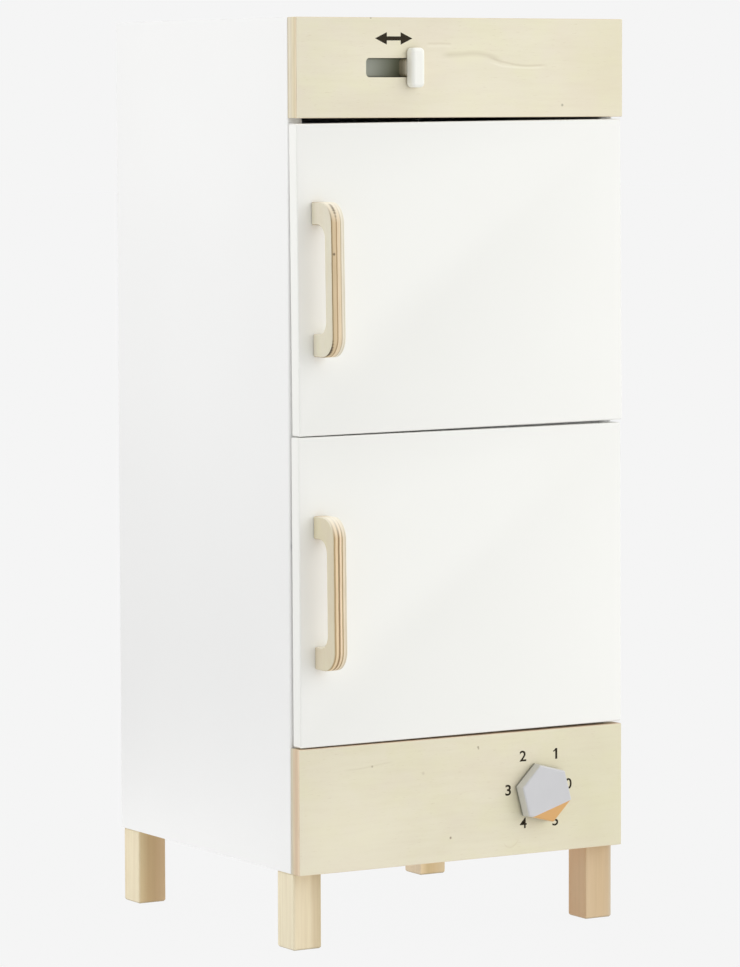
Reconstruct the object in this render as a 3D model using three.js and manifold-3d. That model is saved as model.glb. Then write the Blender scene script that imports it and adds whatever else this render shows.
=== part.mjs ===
// A toddler's play fridge: a white painted cabinet on four pine legs, with a freezer door above a
// fridge door, a plywood board with a slider above them and one with a hexagonal dial below them.
// Lengths are in millimetres and angles in degrees. X runs to the right seen from the front,
// Y to the rear and Z up. The pieces are laid out from the left front corner of the cabinet at the
// floor, and the whole is then centred over the middle of its base.
import * as THREE from 'three';
import { mergeVertices } from 'three/addons/utils/BufferGeometryUtils.js';
import Module from 'manifold-3d';

const wasm = await Module();
wasm.setup();

// Cabinet
const bodyWidth = 331.5;
const bodyDepth = 325.5;
const bodyHeight = 800;
const sideThickness = 15;
const topThickness = 15;
const dividerThickness = 15;
const floorThickness = 12;
const bottomThickness = 12;
const ceilingThickness = 9;
const backThickness = 5;
const lipHeight = 3;
const paintedEase = 1.2;
const glueGap = 0.2;

// Front boards
const frontBoardThickness = 15;
const topBoardHeight = 85.5;
const bottomBoardHeight = 109;
const boardEase = 0.7;

// Legs
const legHeight = 67;
const legSide = 28;
const legEase = 1.5;
const legSideInset = 1.5;
const legFrontInset = 13.5;
const legRearInset = 1.8;

// Doors. Each hangs a little low at its handle, as the play in its hinges lets it.
const doorTopGap = 1.5;
const doorMiddleGap = 2.1;
const doorBottomGap = 2.3;
const doorHandleSideGap = 1;
const doorHingeSideGap = 0.5;
const freezerSagDegrees = 0.36;
const fridgeSagDegrees = 0.2;

// Handles
const handleHeight = 131.5;
const handleThickness = 13.4;
const handleReach = 33;
const handleGripDepth = 11.5;
const handleFootHeight = 19.3;
const handleOuterRadius = 18;
const handleInnerRadius = 12;
const handleEase = 0.9;
const freezerHandleInset = 14.7;
const fridgeHandleInset = 15.4;

// Hinges
const leafHeight = 38;
const leafWidth = 14;
const leafThickness = 0.8;
const leafPlay = 0.4;
const knuckleRadius = 2.4;
const knucklePlay = 0.3;
const hingePinRadius = 1.25;
const hingePinPlay = 0.15;
const hingePinHeadRadius = 1.9;
const hingePinHeadHeight = 0.8;
const hingeStandOff = 0.3;
const hingeEndDistance = 42;
const leafHoleRadius = 1.4;
const leafHoleSpacing = 22;
const knuckleShares = [0, 0.2, 0.4, 0.6, 0.8, 1];

// Magnets and their strike discs
const magnetRadius = 4;
const magnetLength = 8;
const magnetProud = 0.5;
const magnetDrop = 95;
const strikeRadius = 6;
const strikeThickness = 0.9;

// Shelf and its pins
const shelfThickness = 9;
const shelfSetback = 30;
const shelfSideGap = 0.5;
const shelfHeight = 128;
const pinRadius = 3;
const pinDepth = 9;
const pinReach = 8;
const pinEndDistance = 32;

// Slider
const slotHeight = 16.5;
const slotLength = 52.4;
const slotCornerRadius = 3.6;
const sliderRun = 0.4;
const stemWidth = 10;
const sliderKnobWidth = 12.4;
const sliderKnobHeight = 34;
const sliderKnobDepth = 10;
const sliderKnobCorner = 5.6;
const sliderKnobEase = 2.2;
const plateThickness = 3;
const plateOverlap = 10;
const plateEndOverlap = 6;
const railLip = 4;
const railBack = 5;
const plateEndSpace = 5.9;

// Dial
const dialRadius = 26.5;
const dialDepth = 12;
const dialEase = 1.1;
const dialRun = 0.5;
const dialFromRight = 86.5;
const dialFromBoardBottom = 53.9;
const dialPointerDegrees = -75;
const shaftRadius = 3;
const shaftInKnob = 8;
const washerRadius = 7;
const washerThickness = 1.2;
const nutRadius = 5.8;
const nutHeight = 5;
const nutEase = 0.4;
const shaftBehindNut = 2;

// Screws and bores
const boreClearance = 0.25;
const legScrewRadius = 2.5;
const legScrewHeadRadius = 4.8;
const legScrewLength = 42;
const handleScrewRadius = 2;
const handleScrewHeadRadius = 3.8;
const handleScrewLength = 25;
const sliderScrewRadius = 1.6;
const sliderScrewHeadRadius = 3;
const sliderScrewLength = 25;
const screwHeadShare = 0.5;
const screwDomeShares = [0.55, 0.9];
const screwTipShare = 1.5;
const overrun = 2;

// How finely round things are divided
const roundSides = 12;
const cornerSteps = 7;

// Places that follow from the sizes above
const cabinetFront = frontBoardThickness + glueGap;
const doorGap = 2 * leafThickness + leafPlay + 2 * glueGap;
const doorThickness = cabinetFront - doorGap;
const openingBottom = legHeight + bottomBoardHeight;
const openingTop = bodyHeight - topBoardHeight;
const doorHeight = (openingTop - openingBottom - doorTopGap - doorMiddleGap - doorBottomGap) / 2;
const doorLeft = doorHandleSideGap;
const doorRight = bodyWidth - doorHingeSideGap;
const fridgeDoorBottom = openingBottom + doorBottomGap;
const freezerDoorBottom = fridgeDoorBottom + doorHeight + doorMiddleGap;
const hingeX = bodyWidth + hingeStandOff + knuckleRadius;
const hingeY = doorThickness + doorGap / 2;
const innerLeft = sideThickness + glueGap;
const innerRight = bodyWidth - sideThickness - glueGap;
const backFront = bodyDepth - backThickness;
const innerRear = backFront - glueGap;
const floorTop = openingBottom - lipHeight;
const ceilingBottom = openingTop + lipHeight;
const ceilingTop = ceilingBottom + ceilingThickness;
const topPanelBottom = bodyHeight - topThickness;
const dividerCentre = freezerDoorBottom - doorMiddleGap / 2;
const shelfBottom = floorTop + shelfHeight;
const shelfFront = cabinetFront + shelfSetback;
const fullWidth = hingeX + knuckleRadius;
const slotCentreHeight = (openingTop + bodyHeight) / 2;
const sliderTravel = slotLength - stemWidth - 2 * sliderRun;
const slotLeft = innerLeft + plateEndSpace + sliderTravel + plateEndOverlap;
const slotRight = slotLeft + slotLength;
const stemRight = slotRight - sliderRun;
const stemCentre = stemRight - stemWidth / 2;
const plateFront = frontBoardThickness + sliderRun;
const plateBack = plateFront + plateThickness;
const plateLeft = slotLeft - plateEndOverlap;
const plateRight = slotRight + sliderTravel + plateEndOverlap;
const plateHeight = slotHeight + 2 * plateOverlap;
const dialX = bodyWidth - dialFromRight;
const dialZ = legHeight + dialFromBoardBottom;

const whitePaint = new THREE.MeshStandardMaterial({ color: 0xf2f2ef, roughness: 0.42, metalness: 0 });
const plywood = new THREE.MeshStandardMaterial({ color: 0xe6dfc4, roughness: 0.6, metalness: 0 });
const pine = new THREE.MeshStandardMaterial({ color: 0xe2c79f, roughness: 0.6, metalness: 0 });
const greyPaint = new THREE.MeshStandardMaterial({ color: 0x8f9189, roughness: 0.55, metalness: 0 });
const knobPaint = new THREE.MeshStandardMaterial({ color: 0xf4f4f0, roughness: 0.35, metalness: 0 });
const dialPaint = new THREE.MeshStandardMaterial({ color: 0xcfcfce, roughness: 0.45, metalness: 0 });
const steel = new THREE.MeshStandardMaterial({ color: 0xb9bcc0, roughness: 0.35, metalness: 1 });
const nickel = new THREE.MeshStandardMaterial({ color: 0xc9c7c1, roughness: 0.25, metalness: 1 });

// Small tools for shapes

function point(x, y, z) {
  return new THREE.Vector3(x, y, z);
}

function toSolid(geometry) {
  const bare = geometry.clone();
  bare.deleteAttribute('normal');
  bare.deleteAttribute('uv');
  const merged = mergeVertices(bare);
  return new wasm.Manifold(new wasm.Mesh({
    numProp: 3,
    vertProperties: Float32Array.from(merged.attributes.position.array),
    triVerts: Uint32Array.from(merged.index.array),
  }));
}

function toGeometry(solid) {
  const mesh = solid.getMesh();
  const geometry = new THREE.BufferGeometry();
  geometry.setAttribute('position', new THREE.BufferAttribute(mesh.vertProperties, 3));
  geometry.setIndex(new THREE.BufferAttribute(mesh.triVerts, 1));
  geometry.computeVertexNormals();
  return geometry;
}

function joined(geometries) {
  const solids = geometries.map(toSolid);
  return toGeometry(solids.reduce((whole, solid) => whole.add(solid)));
}

function bored(geometry, tools) {
  const solids = tools.map(toSolid);
  return toGeometry(solids.reduce((whole, tool) => whole.subtract(tool), toSolid(geometry)));
}

// A block with all twelve edges eased, filling the box between two corners.
function block(low, high, ease) {
  const size = high.clone().sub(low);
  const halfX = size.x / 2;
  const halfY = size.y / 2;
  const outline = new THREE.Shape([
    new THREE.Vector2(ease - halfX, -halfY),
    new THREE.Vector2(halfX - ease, -halfY),
    new THREE.Vector2(halfX, ease - halfY),
    new THREE.Vector2(halfX, halfY - ease),
    new THREE.Vector2(halfX - ease, halfY),
    new THREE.Vector2(ease - halfX, halfY),
    new THREE.Vector2(-halfX, halfY - ease),
    new THREE.Vector2(-halfX, ease - halfY),
  ]);
  const geometry = new THREE.ExtrudeGeometry(outline, {
    depth: size.z - 2 * ease,
    bevelThickness: ease,
    bevelSize: ease,
    bevelOffset: -ease,
    bevelSegments: 1,
  });
  geometry.translate(low.x + halfX, low.y + halfY, low.z + ease);
  return geometry;
}

// A sharp-edged box between two corners, for cutting with and for sheet metal.
function box(low, high) {
  const size = high.clone().sub(low);
  const geometry = new THREE.BoxGeometry(size.x, size.y, size.z);
  geometry.translate(low.x + size.x / 2, low.y + size.y / 2, low.z + size.z / 2);
  return geometry;
}

// Stands what was made along Y up along the line from start to end, with its middle halfway.
function alongLine(geometry, start, end) {
  const direction = end.clone().sub(start).normalize();
  const turn = new THREE.Quaternion().setFromUnitVectors(point(0, 1, 0), direction);
  geometry.applyQuaternion(turn);
  const middle = start.clone().add(end).divideScalar(2);
  geometry.translate(middle.x, middle.y, middle.z);
  return geometry;
}

function rod(radius, start, end) {
  const length = start.distanceTo(end);
  return alongLine(new THREE.CylinderGeometry(radius, radius, length, roundSides), start, end);
}

// A pan head screw. Its head sits on the start point and its tip is at the end point.
function screw(radius, headRadius, start, end) {
  const length = start.distanceTo(end);
  const headHeight = headRadius * screwHeadShare;
  const [domeRadiusShare, domeHeightShare] = screwDomeShares;
  const seat = -length / 2;
  const profile = [
    new THREE.Vector2(0, seat - headHeight),
    new THREE.Vector2(headRadius * domeRadiusShare, seat - headHeight * domeHeightShare),
    new THREE.Vector2(headRadius, seat - headHeight / 2),
    new THREE.Vector2(headRadius, seat),
    new THREE.Vector2(radius, seat),
    new THREE.Vector2(radius, length / 2 - radius * screwTipShare),
    new THREE.Vector2(0, length / 2),
  ];
  return alongLine(new THREE.LatheGeometry(profile, roundSides), start, end);
}

// An outline in the YZ or XZ plane drawn as first and second coordinate, extruded and eased.
function easedExtrusion(outline, thickness, ease) {
  const geometry = new THREE.ExtrudeGeometry(outline, {
    depth: thickness - 2 * ease,
    bevelThickness: ease,
    bevelSize: ease,
    bevelOffset: -ease,
    bevelSegments: 1,
    curveSegments: cornerSteps,
  });
  geometry.translate(0, 0, ease - thickness / 2);
  return geometry;
}

// Turns a shape drawn in XY and extruded along Z to stand in XZ, extruded along Y.
function stoodUp(geometry) {
  return geometry.rotateX(Math.PI / 2);
}

function roundedRectangle(width, height, radius) {
  const halfX = width / 2;
  const halfY = height / 2;
  const shape = new THREE.Shape();
  shape.moveTo(radius - halfX, -halfY);
  shape.lineTo(halfX - radius, -halfY);
  shape.absarc(halfX - radius, radius - halfY, radius, -Math.PI / 2, 0, false);
  shape.lineTo(halfX, halfY - radius);
  shape.absarc(halfX - radius, halfY - radius, radius, 0, Math.PI / 2, false);
  shape.lineTo(radius - halfX, halfY);
  shape.absarc(radius - halfX, halfY - radius, radius, Math.PI / 2, Math.PI, false);
  shape.lineTo(-halfX, radius - halfY);
  shape.absarc(radius - halfX, radius - halfY, radius, Math.PI, Math.PI * 3 / 2, false);
  return shape;
}

function named(name, geometry, material) {
  const mesh = new THREE.Mesh(geometry, material);
  mesh.name = name;
  return mesh;
}

// Side panels, with bores for the shelf pins and, on the handle side, for the magnets

function pinPlaces() {
  return [
    { name: 'front', y: shelfFront + pinEndDistance },
    { name: 'rear', y: innerRear - pinEndDistance },
  ];
}

function magnetHeights() {
  return {
    freezer: freezerDoorBottom + doorHeight - magnetDrop,
    fridge: fridgeDoorBottom + doorHeight - magnetDrop,
  };
}

function pinHeight() {
  return shelfBottom - glueGap - pinRadius;
}

function sidePanel(name, outer, inner) {
  const low = point(Math.min(outer, inner), cabinetFront, legHeight);
  const high = point(Math.max(outer, inner), bodyDepth, bodyHeight);
  const intoWall = Math.sign(outer - inner);
  const tools = pinPlaces().map((place) => rod(
    pinRadius + boreClearance,
    point(inner + intoWall * (pinDepth + boreClearance), place.y, pinHeight()),
    point(inner - intoWall * overrun, place.y, pinHeight()),
  ));
  if (outer < inner) {
    for (const height of Object.values(magnetHeights())) {
      const middle = (outer + inner) / 2;
      const bottom = cabinetFront - magnetProud + magnetLength + boreClearance;
      tools.push(rod(
        magnetRadius + boreClearance,
        point(middle, bottom, height),
        point(middle, cabinetFront - overrun, height),
      ));
    }
  }
  return named(name, bored(block(low, high, paintedEase), tools), whitePaint);
}

function sidePanels() {
  return [
    sidePanel('left_side_panel', 0, sideThickness),
    sidePanel('right_side_panel', bodyWidth, bodyWidth - sideThickness),
  ];
}

function magnets() {
  return Object.entries(magnetHeights()).map(([compartment, height]) => {
    const front = point(sideThickness / 2, cabinetFront - magnetProud, height);
    const rear = point(sideThickness / 2, cabinetFront - magnetProud + magnetLength, height);
    return named(`${compartment}_magnet`, rod(magnetRadius, front, rear), nickel);
  });
}

// Level boards between the side panels

function levelBoard(name, bottom, thickness) {
  const low = point(innerLeft, cabinetFront, bottom);
  const high = point(innerRight, innerRear, bottom + thickness);
  return named(name, block(low, high, boardEase), whitePaint);
}

function levelBoards() {
  return [
    levelBoard('top_panel', topPanelBottom, topThickness),
    levelBoard('freezer_ceiling', ceilingBottom, ceilingThickness),
    levelBoard('compartment_divider', dividerCentre - dividerThickness / 2, dividerThickness),
    levelBoard('fridge_floor', floorTop - floorThickness, floorThickness),
  ];
}

function backPanel() {
  const low = point(innerLeft, backFront, legHeight);
  const high = point(innerRight, bodyDepth, bodyHeight);
  return named('back_panel', block(low, high, boardEase), whitePaint);
}

// Legs, screwed from above through the bottom panel. A leg stands half under the side panel, so
// its screw is as near to its middle as the screw's head can be beside that panel.

function legPlaces() {
  const front = legFrontInset;
  const rear = bodyDepth - legRearInset - legSide;
  const left = legSideInset;
  const right = bodyWidth - legSideInset - legSide;
  const leftScrew = innerLeft + legScrewHeadRadius + glueGap;
  const rightScrew = bodyWidth - leftScrew;
  return [
    { name: 'front_left', x: left, y: front, screwX: leftScrew },
    { name: 'front_right', x: right, y: front, screwX: rightScrew },
    { name: 'rear_left', x: left, y: rear, screwX: leftScrew },
    { name: 'rear_right', x: right, y: rear, screwX: rightScrew },
  ];
}

function legScrewLine(place) {
  const y = place.y + legSide / 2;
  const top = legHeight + bottomThickness + glueGap;
  return [point(place.screwX, y, top), point(place.screwX, y, top - legScrewLength)];
}

function legScrewBore(place) {
  const [start, end] = legScrewLine(place);
  start.z += overrun;
  end.z -= boreClearance;
  return rod(legScrewRadius + boreClearance, start, end);
}

function legs() {
  return legPlaces().map((place) => {
    const low = point(place.x, place.y, 0);
    const high = point(place.x + legSide, place.y + legSide, legHeight - glueGap);
    const solid = bored(block(low, high, legEase), [legScrewBore(place)]);
    return named(`${place.name}_leg`, solid, pine);
  });
}

function legScrews() {
  return legPlaces().map((place) => {
    const [start, end] = legScrewLine(place);
    const solid = screw(legScrewRadius, legScrewHeadRadius, start, end);
    return named(`${place.name}_leg_screw`, solid, steel);
  });
}

function bottomPanel() {
  const low = point(innerLeft, cabinetFront, legHeight);
  const high = point(innerRight, innerRear, legHeight + bottomThickness);
  const solid = bored(block(low, high, boardEase), legPlaces().map(legScrewBore));
  return named('bottom_panel', solid, whitePaint);
}

// Shelf on four pins

function shelf() {
  const low = point(innerLeft + shelfSideGap, shelfFront, shelfBottom);
  const high = point(innerRight - shelfSideGap, innerRear - shelfSideGap, shelfBottom + shelfThickness);
  return named('fridge_shelf', block(low, high, boardEase), whitePaint);
}

function shelfPins() {
  const sides = [
    { name: 'left', face: sideThickness, outward: -1 },
    { name: 'right', face: bodyWidth - sideThickness, outward: 1 },
  ];
  return sides.flatMap((side) => pinPlaces().map((place) => {
    const inWall = point(side.face + side.outward * pinDepth, place.y, pinHeight());
    const inRoom = point(side.face - side.outward * pinReach, place.y, pinHeight());
    return named(`${place.name}_${side.name}_shelf_pin`, rod(pinRadius, inWall, inRoom), steel);
  }));
}

// Front boards

function frontBoard(bottom, height) {
  const low = point(0, 0, bottom);
  const high = point(bodyWidth, frontBoardThickness, bottom + height);
  return block(low, high, boardEase);
}

function topBoard() {
  const slot = stoodUp(new THREE.ExtrudeGeometry(
    roundedRectangle(slotLength, slotHeight, slotCornerRadius),
    { depth: frontBoardThickness + 2 * overrun, bevelEnabled: false, curveSegments: cornerSteps },
  ));
  slot.translate(slotLeft + slotLength / 2, frontBoardThickness + overrun, slotCentreHeight);
  return named('top_front_board', bored(frontBoard(openingTop, topBoardHeight), [slot]), plywood);
}

function bottomBoard() {
  const bore = rod(
    shaftRadius + boreClearance,
    point(dialX, -overrun, dialZ),
    point(dialX, frontBoardThickness + overrun, dialZ),
  );
  const solid = bored(frontBoard(legHeight, bottomBoardHeight), [bore]);
  return named('bottom_front_board', solid, plywood);
}

// Slider: a white bar on a wooden stem that runs in the slot, on a grey plate held by two rails

function sliderScrewLine() {
  return [
    point(stemCentre, plateBack + glueGap, slotCentreHeight),
    point(stemCentre, plateBack + glueGap - sliderScrewLength, slotCentreHeight),
  ];
}

function sliderBore() {
  const [start, end] = sliderScrewLine();
  start.y += overrun;
  end.y -= boreClearance;
  return rod(sliderScrewRadius + boreClearance, start, end);
}

function slider() {
  const knob = stoodUp(easedExtrusion(
    roundedRectangle(sliderKnobWidth, sliderKnobHeight, sliderKnobCorner),
    sliderKnobDepth,
    sliderKnobEase,
  ));
  knob.translate(stemCentre, -sliderRun - sliderKnobDepth / 2, slotCentreHeight);
  const stemFront = glueGap - sliderRun;
  const stemLength = plateFront - glueGap - stemFront;
  const stem = stoodUp(new THREE.ExtrudeGeometry(
    roundedRectangle(stemWidth, slotHeight - 2 * sliderRun, slotCornerRadius),
    { depth: stemLength, bevelEnabled: false, curveSegments: cornerSteps },
  ));
  stem.translate(stemCentre, stemFront + stemLength, slotCentreHeight);
  const plate = block(
    point(plateLeft, plateFront, slotCentreHeight - plateHeight / 2),
    point(plateRight, plateBack, slotCentreHeight + plateHeight / 2),
    boardEase,
  );
  const [start, end] = sliderScrewLine();
  const group = new THREE.Group();
  group.add(
    named('slider_knob', bored(knob, [sliderBore()]), knobPaint),
    named('slider_stem', bored(stem, [sliderBore()]), plywood),
    named('slider_plate', bored(plate, [sliderBore()]), greyPaint),
    named('slider_screw', screw(sliderScrewRadius, sliderScrewHeadRadius, start, end), steel),
  );
  return group;
}

// A rail is an L in section: it holds the plate at its edge and from behind. It runs from one side
// panel to the other, and its far edge meets the top panel or the freezer's ceiling.
function sliderRail(name, upward, farEdge) {
  const edge = slotCentreHeight + upward * (plateHeight / 2 + sliderRun);
  const outline = new THREE.Shape([
    new THREE.Vector2(cabinetFront, edge),
    new THREE.Vector2(cabinetFront, farEdge),
    new THREE.Vector2(plateBack + sliderRun + railBack, farEdge),
    new THREE.Vector2(plateBack + sliderRun + railBack, edge - upward * railLip),
    new THREE.Vector2(plateBack + sliderRun, edge - upward * railLip),
    new THREE.Vector2(plateBack + sliderRun, edge),
  ]);
  const depth = innerRight - innerLeft;
  const geometry = new THREE.ExtrudeGeometry(outline, { depth, bevelEnabled: false });
  geometry.rotateX(Math.PI / 2);
  geometry.rotateZ(Math.PI / 2);
  geometry.translate(innerLeft, 0, 0);
  return named(name, geometry, plywood);
}

// Dial: a hexagonal knob on a steel shaft, kept by a washer and a nut behind the board

function hexagon(radius, firstCornerDegrees) {
  const corners = [0, 1, 2, 3, 4, 5].map((index) => {
    const angle = THREE.MathUtils.degToRad(firstCornerDegrees) + index * Math.PI / 3;
    return new THREE.Vector2(radius * Math.cos(angle), radius * Math.sin(angle));
  });
  return new THREE.Shape(corners);
}

function dial() {
  const knobBack = -dialRun;
  const washerFront = cabinetFront;
  const nutFront = washerFront + washerThickness + glueGap;
  const shaftEnd = nutFront + nutHeight + shaftBehindNut;
  const knob = stoodUp(easedExtrusion(hexagon(dialRadius, dialPointerDegrees), dialDepth, dialEase));
  knob.translate(dialX, knobBack - dialDepth / 2, dialZ);
  const nut = stoodUp(easedExtrusion(hexagon(nutRadius, 0), nutHeight, nutEase));
  nut.translate(dialX, nutFront + nutHeight / 2, dialZ);
  const washer = rod(
    washerRadius,
    point(dialX, washerFront, dialZ),
    point(dialX, washerFront + washerThickness, dialZ),
  );
  const shaftFront = point(dialX, knobBack - shaftInKnob, dialZ);
  const bore = rod(
    shaftRadius + boreClearance,
    point(dialX, shaftFront.y - boreClearance, dialZ),
    point(dialX, shaftEnd + overrun, dialZ),
  );
  const group = new THREE.Group();
  group.add(
    named('dial_knob', bored(knob, [bore]), dialPaint),
    named('dial_shaft', rod(shaftRadius, shaftFront, point(dialX, shaftEnd, dialZ)), steel),
    named('dial_washer', bored(washer, [bore]), steel),
    named('dial_nut', bored(nut, [bore]), steel),
  );
  return group;
}

// Butt hinges. Five knuckles share the pin: three belong to the cabinet leaf and two to the door's.

function knuckleSpans(owner) {
  const spans = [];
  for (let index = 0; index + 1 < knuckleShares.length; index += 1) {
    const isCabinets = index % 2 === 0;
    if (isCabinets === (owner === 'cabinet')) {
      const low = knuckleShares[index] * leafHeight + (index === 0 ? 0 : knucklePlay / 2);
      const isLast = index + 2 === knuckleShares.length;
      const high = knuckleShares[index + 1] * leafHeight - (isLast ? 0 : knucklePlay / 2);
      spans.push([low - leafHeight / 2, high - leafHeight / 2]);
    }
  }
  return spans;
}

function hingeLeaf(owner) {
  const side = owner === 'cabinet' ? 1 : -1;
  const near = side * leafPlay / 2;
  const far = side * (leafPlay / 2 + leafThickness);
  const front = Math.min(near, far);
  const rear = Math.max(near, far);
  const plateEdge = -knuckleRadius - leafPlay;
  const pieces = [
    box(point(-leafWidth, front, -leafHeight / 2), point(plateEdge, rear, leafHeight / 2)),
  ];
  for (const [low, high] of knuckleSpans(owner)) {
    pieces.push(box(point(plateEdge - leafThickness, front, low), point(0, rear, high)));
    pieces.push(rod(knuckleRadius, point(0, 0, low), point(0, 0, high)));
  }
  const bores = [
    rod(
      hingePinRadius + hingePinPlay,
      point(0, 0, -leafHeight / 2 - overrun),
      point(0, 0, leafHeight / 2 + overrun),
    ),
  ];
  const holeX = (plateEdge - leafWidth) / 2;
  for (const height of [-leafHoleSpacing / 2, leafHoleSpacing / 2]) {
    bores.push(rod(
      leafHoleRadius,
      point(holeX, front - overrun, height),
      point(holeX, rear + overrun, height),
    ));
  }
  return bored(joined(pieces), bores);
}

function hingePin() {
  const headSeat = leafHeight / 2 + glueGap;
  const top = headSeat + hingePinHeadHeight;
  const profile = [
    new THREE.Vector2(0, -top),
    new THREE.Vector2(hingePinHeadRadius, -headSeat - hingePinHeadHeight / 2),
    new THREE.Vector2(hingePinHeadRadius, -headSeat),
    new THREE.Vector2(hingePinRadius, -headSeat),
    new THREE.Vector2(hingePinRadius, headSeat),
    new THREE.Vector2(hingePinHeadRadius, headSeat),
    new THREE.Vector2(hingePinHeadRadius, headSeat + hingePinHeadHeight / 2),
    new THREE.Vector2(0, top),
  ];
  return stoodUp(new THREE.LatheGeometry(profile, roundSides));
}

function hinges(compartment, doorBottom) {
  const places = {
    upper: doorBottom + doorHeight - hingeEndDistance,
    lower: doorBottom + hingeEndDistance,
  };
  const group = new THREE.Group();
  for (const [place, height] of Object.entries(places)) {
    const hinge = new THREE.Group();
    hinge.position.set(hingeX, hingeY, height);
    hinge.add(
      named(`${compartment}_${place}_cabinet_leaf`, hingeLeaf('cabinet'), nickel),
      named(`${compartment}_${place}_door_leaf`, hingeLeaf('door'), nickel),
      named(`${compartment}_${place}_hinge_pin`, hingePin(), steel),
    );
    group.add(hinge);
  }
  return group;
}

// Doors, each a board with a plywood handle screwed on from behind

function handleOutline() {
  const half = handleHeight / 2;
  const grip = handleReach - handleGripDepth;
  const footInner = half - handleFootHeight;
  const shape = new THREE.Shape();
  shape.moveTo(0, -half);
  shape.lineTo(handleReach - handleOuterRadius, -half);
  shape.absarc(
    handleReach - handleOuterRadius,
    handleOuterRadius - half,
    handleOuterRadius,
    -Math.PI / 2,
    0,
    false,
  );
  shape.lineTo(handleReach, half - handleOuterRadius);
  shape.absarc(
    handleReach - handleOuterRadius,
    half - handleOuterRadius,
    handleOuterRadius,
    0,
    Math.PI / 2,
    false,
  );
  shape.lineTo(0, half);
  shape.lineTo(0, footInner);
  shape.lineTo(grip - handleInnerRadius, footInner);
  shape.absarc(
    grip - handleInnerRadius,
    footInner - handleInnerRadius,
    handleInnerRadius,
    Math.PI / 2,
    0,
    true,
  );
  shape.lineTo(grip, handleInnerRadius - footInner);
  shape.absarc(
    grip - handleInnerRadius,
    handleInnerRadius - footInner,
    handleInnerRadius,
    0,
    -Math.PI / 2,
    true,
  );
  shape.lineTo(0, -footInner);
  return shape;
}

function handleScrewHeights() {
  const offset = handleHeight / 2 - handleFootHeight / 2;
  return { upper: offset, lower: -offset };
}

function door(compartment, doorBottom, sagDegrees, handleInset) {
  const middle = doorBottom + doorHeight / 2;
  const handleX = handleInset + handleThickness / 2 - bodyWidth;
  const screwReach = doorThickness + glueGap;
  const screwLines = Object.entries(handleScrewHeights()).map(([place, height]) => ({
    place,
    start: point(handleX, screwReach, height),
    end: point(handleX, screwReach - handleScrewLength, height),
  }));
  const bores = screwLines.map(({ start, end }) => rod(
    handleScrewRadius + boreClearance,
    point(start.x, start.y + overrun, start.z),
    point(end.x, end.y - boreClearance, end.z),
  ));
  const panel = block(
    point(doorLeft - bodyWidth, 0, -doorHeight / 2),
    point(doorRight - bodyWidth, doorThickness, doorHeight / 2),
    paintedEase,
  );
  const handle = easedExtrusion(handleOutline(), handleThickness, handleEase);
  handle.rotateX(Math.PI / 2);
  handle.rotateZ(-Math.PI / 2);
  handle.translate(handleX, -glueGap, 0);

  // The turning point is on the hinge side, at the door's mid height.
  const leaning = new THREE.Group();
  leaning.position.set(bodyWidth, 0, middle);
  leaning.rotation.y = THREE.MathUtils.degToRad(-sagDegrees);
  leaning.add(
    named(`${compartment}_door`, bored(panel, bores), whitePaint),
    named(`${compartment}_handle`, bored(handle, bores), plywood),
  );
  for (const { place, start, end } of screwLines) {
    const solid = screw(handleScrewRadius, handleScrewHeadRadius, start, end);
    leaning.add(named(`${compartment}_${place}_handle_screw`, solid, steel));
  }
  return leaning;
}

// Steel discs on the backs of the doors, facing the magnets
function strikeDiscs() {
  return Object.entries(magnetHeights()).map(([compartment, height]) => {
    const front = point(sideThickness / 2, doorThickness + glueGap, height);
    const rear = point(sideThickness / 2, doorThickness + glueGap + strikeThickness, height);
    return named(`${compartment}_strike_disc`, rod(strikeRadius, front, rear), steel);
  });
}

const fridge = new THREE.Group();
fridge.add(
  ...sidePanels(),
  ...magnets(),
  ...levelBoards(),
  bottomPanel(),
  backPanel(),
  ...legs(),
  ...legScrews(),
  shelf(),
  ...shelfPins(),
  topBoard(),
  bottomBoard(),
  sliderRail('slider_upper_rail', 1, topPanelBottom - glueGap),
  sliderRail('slider_lower_rail', -1, ceilingTop + glueGap),
  slider(),
  dial(),
  hinges('freezer', freezerDoorBottom),
  hinges('fridge', fridgeDoorBottom),
  door('freezer', freezerDoorBottom, freezerSagDegrees, freezerHandleInset),
  door('fridge', fridgeDoorBottom, fridgeSagDegrees, fridgeHandleInset),
  ...strikeDiscs(),
);
fridge.position.set(-fullWidth / 2, (handleReach + glueGap - bodyDepth) / 2, 0);

export default fridge;
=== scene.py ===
# A toddler's wooden play fridge, as its photograph shows it: every board, handle, knob and screw with
# its real finish. Places come from the frame, in metres, and small sizes are written times MM.
import math

import bpy
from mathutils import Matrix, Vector


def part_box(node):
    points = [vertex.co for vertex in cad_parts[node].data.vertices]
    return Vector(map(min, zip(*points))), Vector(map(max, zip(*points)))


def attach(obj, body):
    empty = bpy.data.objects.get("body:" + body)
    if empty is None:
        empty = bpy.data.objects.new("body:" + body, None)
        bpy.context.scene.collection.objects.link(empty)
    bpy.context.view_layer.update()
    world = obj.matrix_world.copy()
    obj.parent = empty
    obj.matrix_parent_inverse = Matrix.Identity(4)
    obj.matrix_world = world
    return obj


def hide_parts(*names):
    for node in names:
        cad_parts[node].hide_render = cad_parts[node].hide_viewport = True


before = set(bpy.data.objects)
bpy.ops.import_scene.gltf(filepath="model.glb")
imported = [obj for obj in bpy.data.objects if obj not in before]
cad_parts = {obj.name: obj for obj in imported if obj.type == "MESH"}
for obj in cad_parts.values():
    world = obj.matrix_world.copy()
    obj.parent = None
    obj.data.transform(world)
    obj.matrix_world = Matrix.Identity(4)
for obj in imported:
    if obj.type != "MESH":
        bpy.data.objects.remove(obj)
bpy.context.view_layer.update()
MM = 0.001

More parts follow.
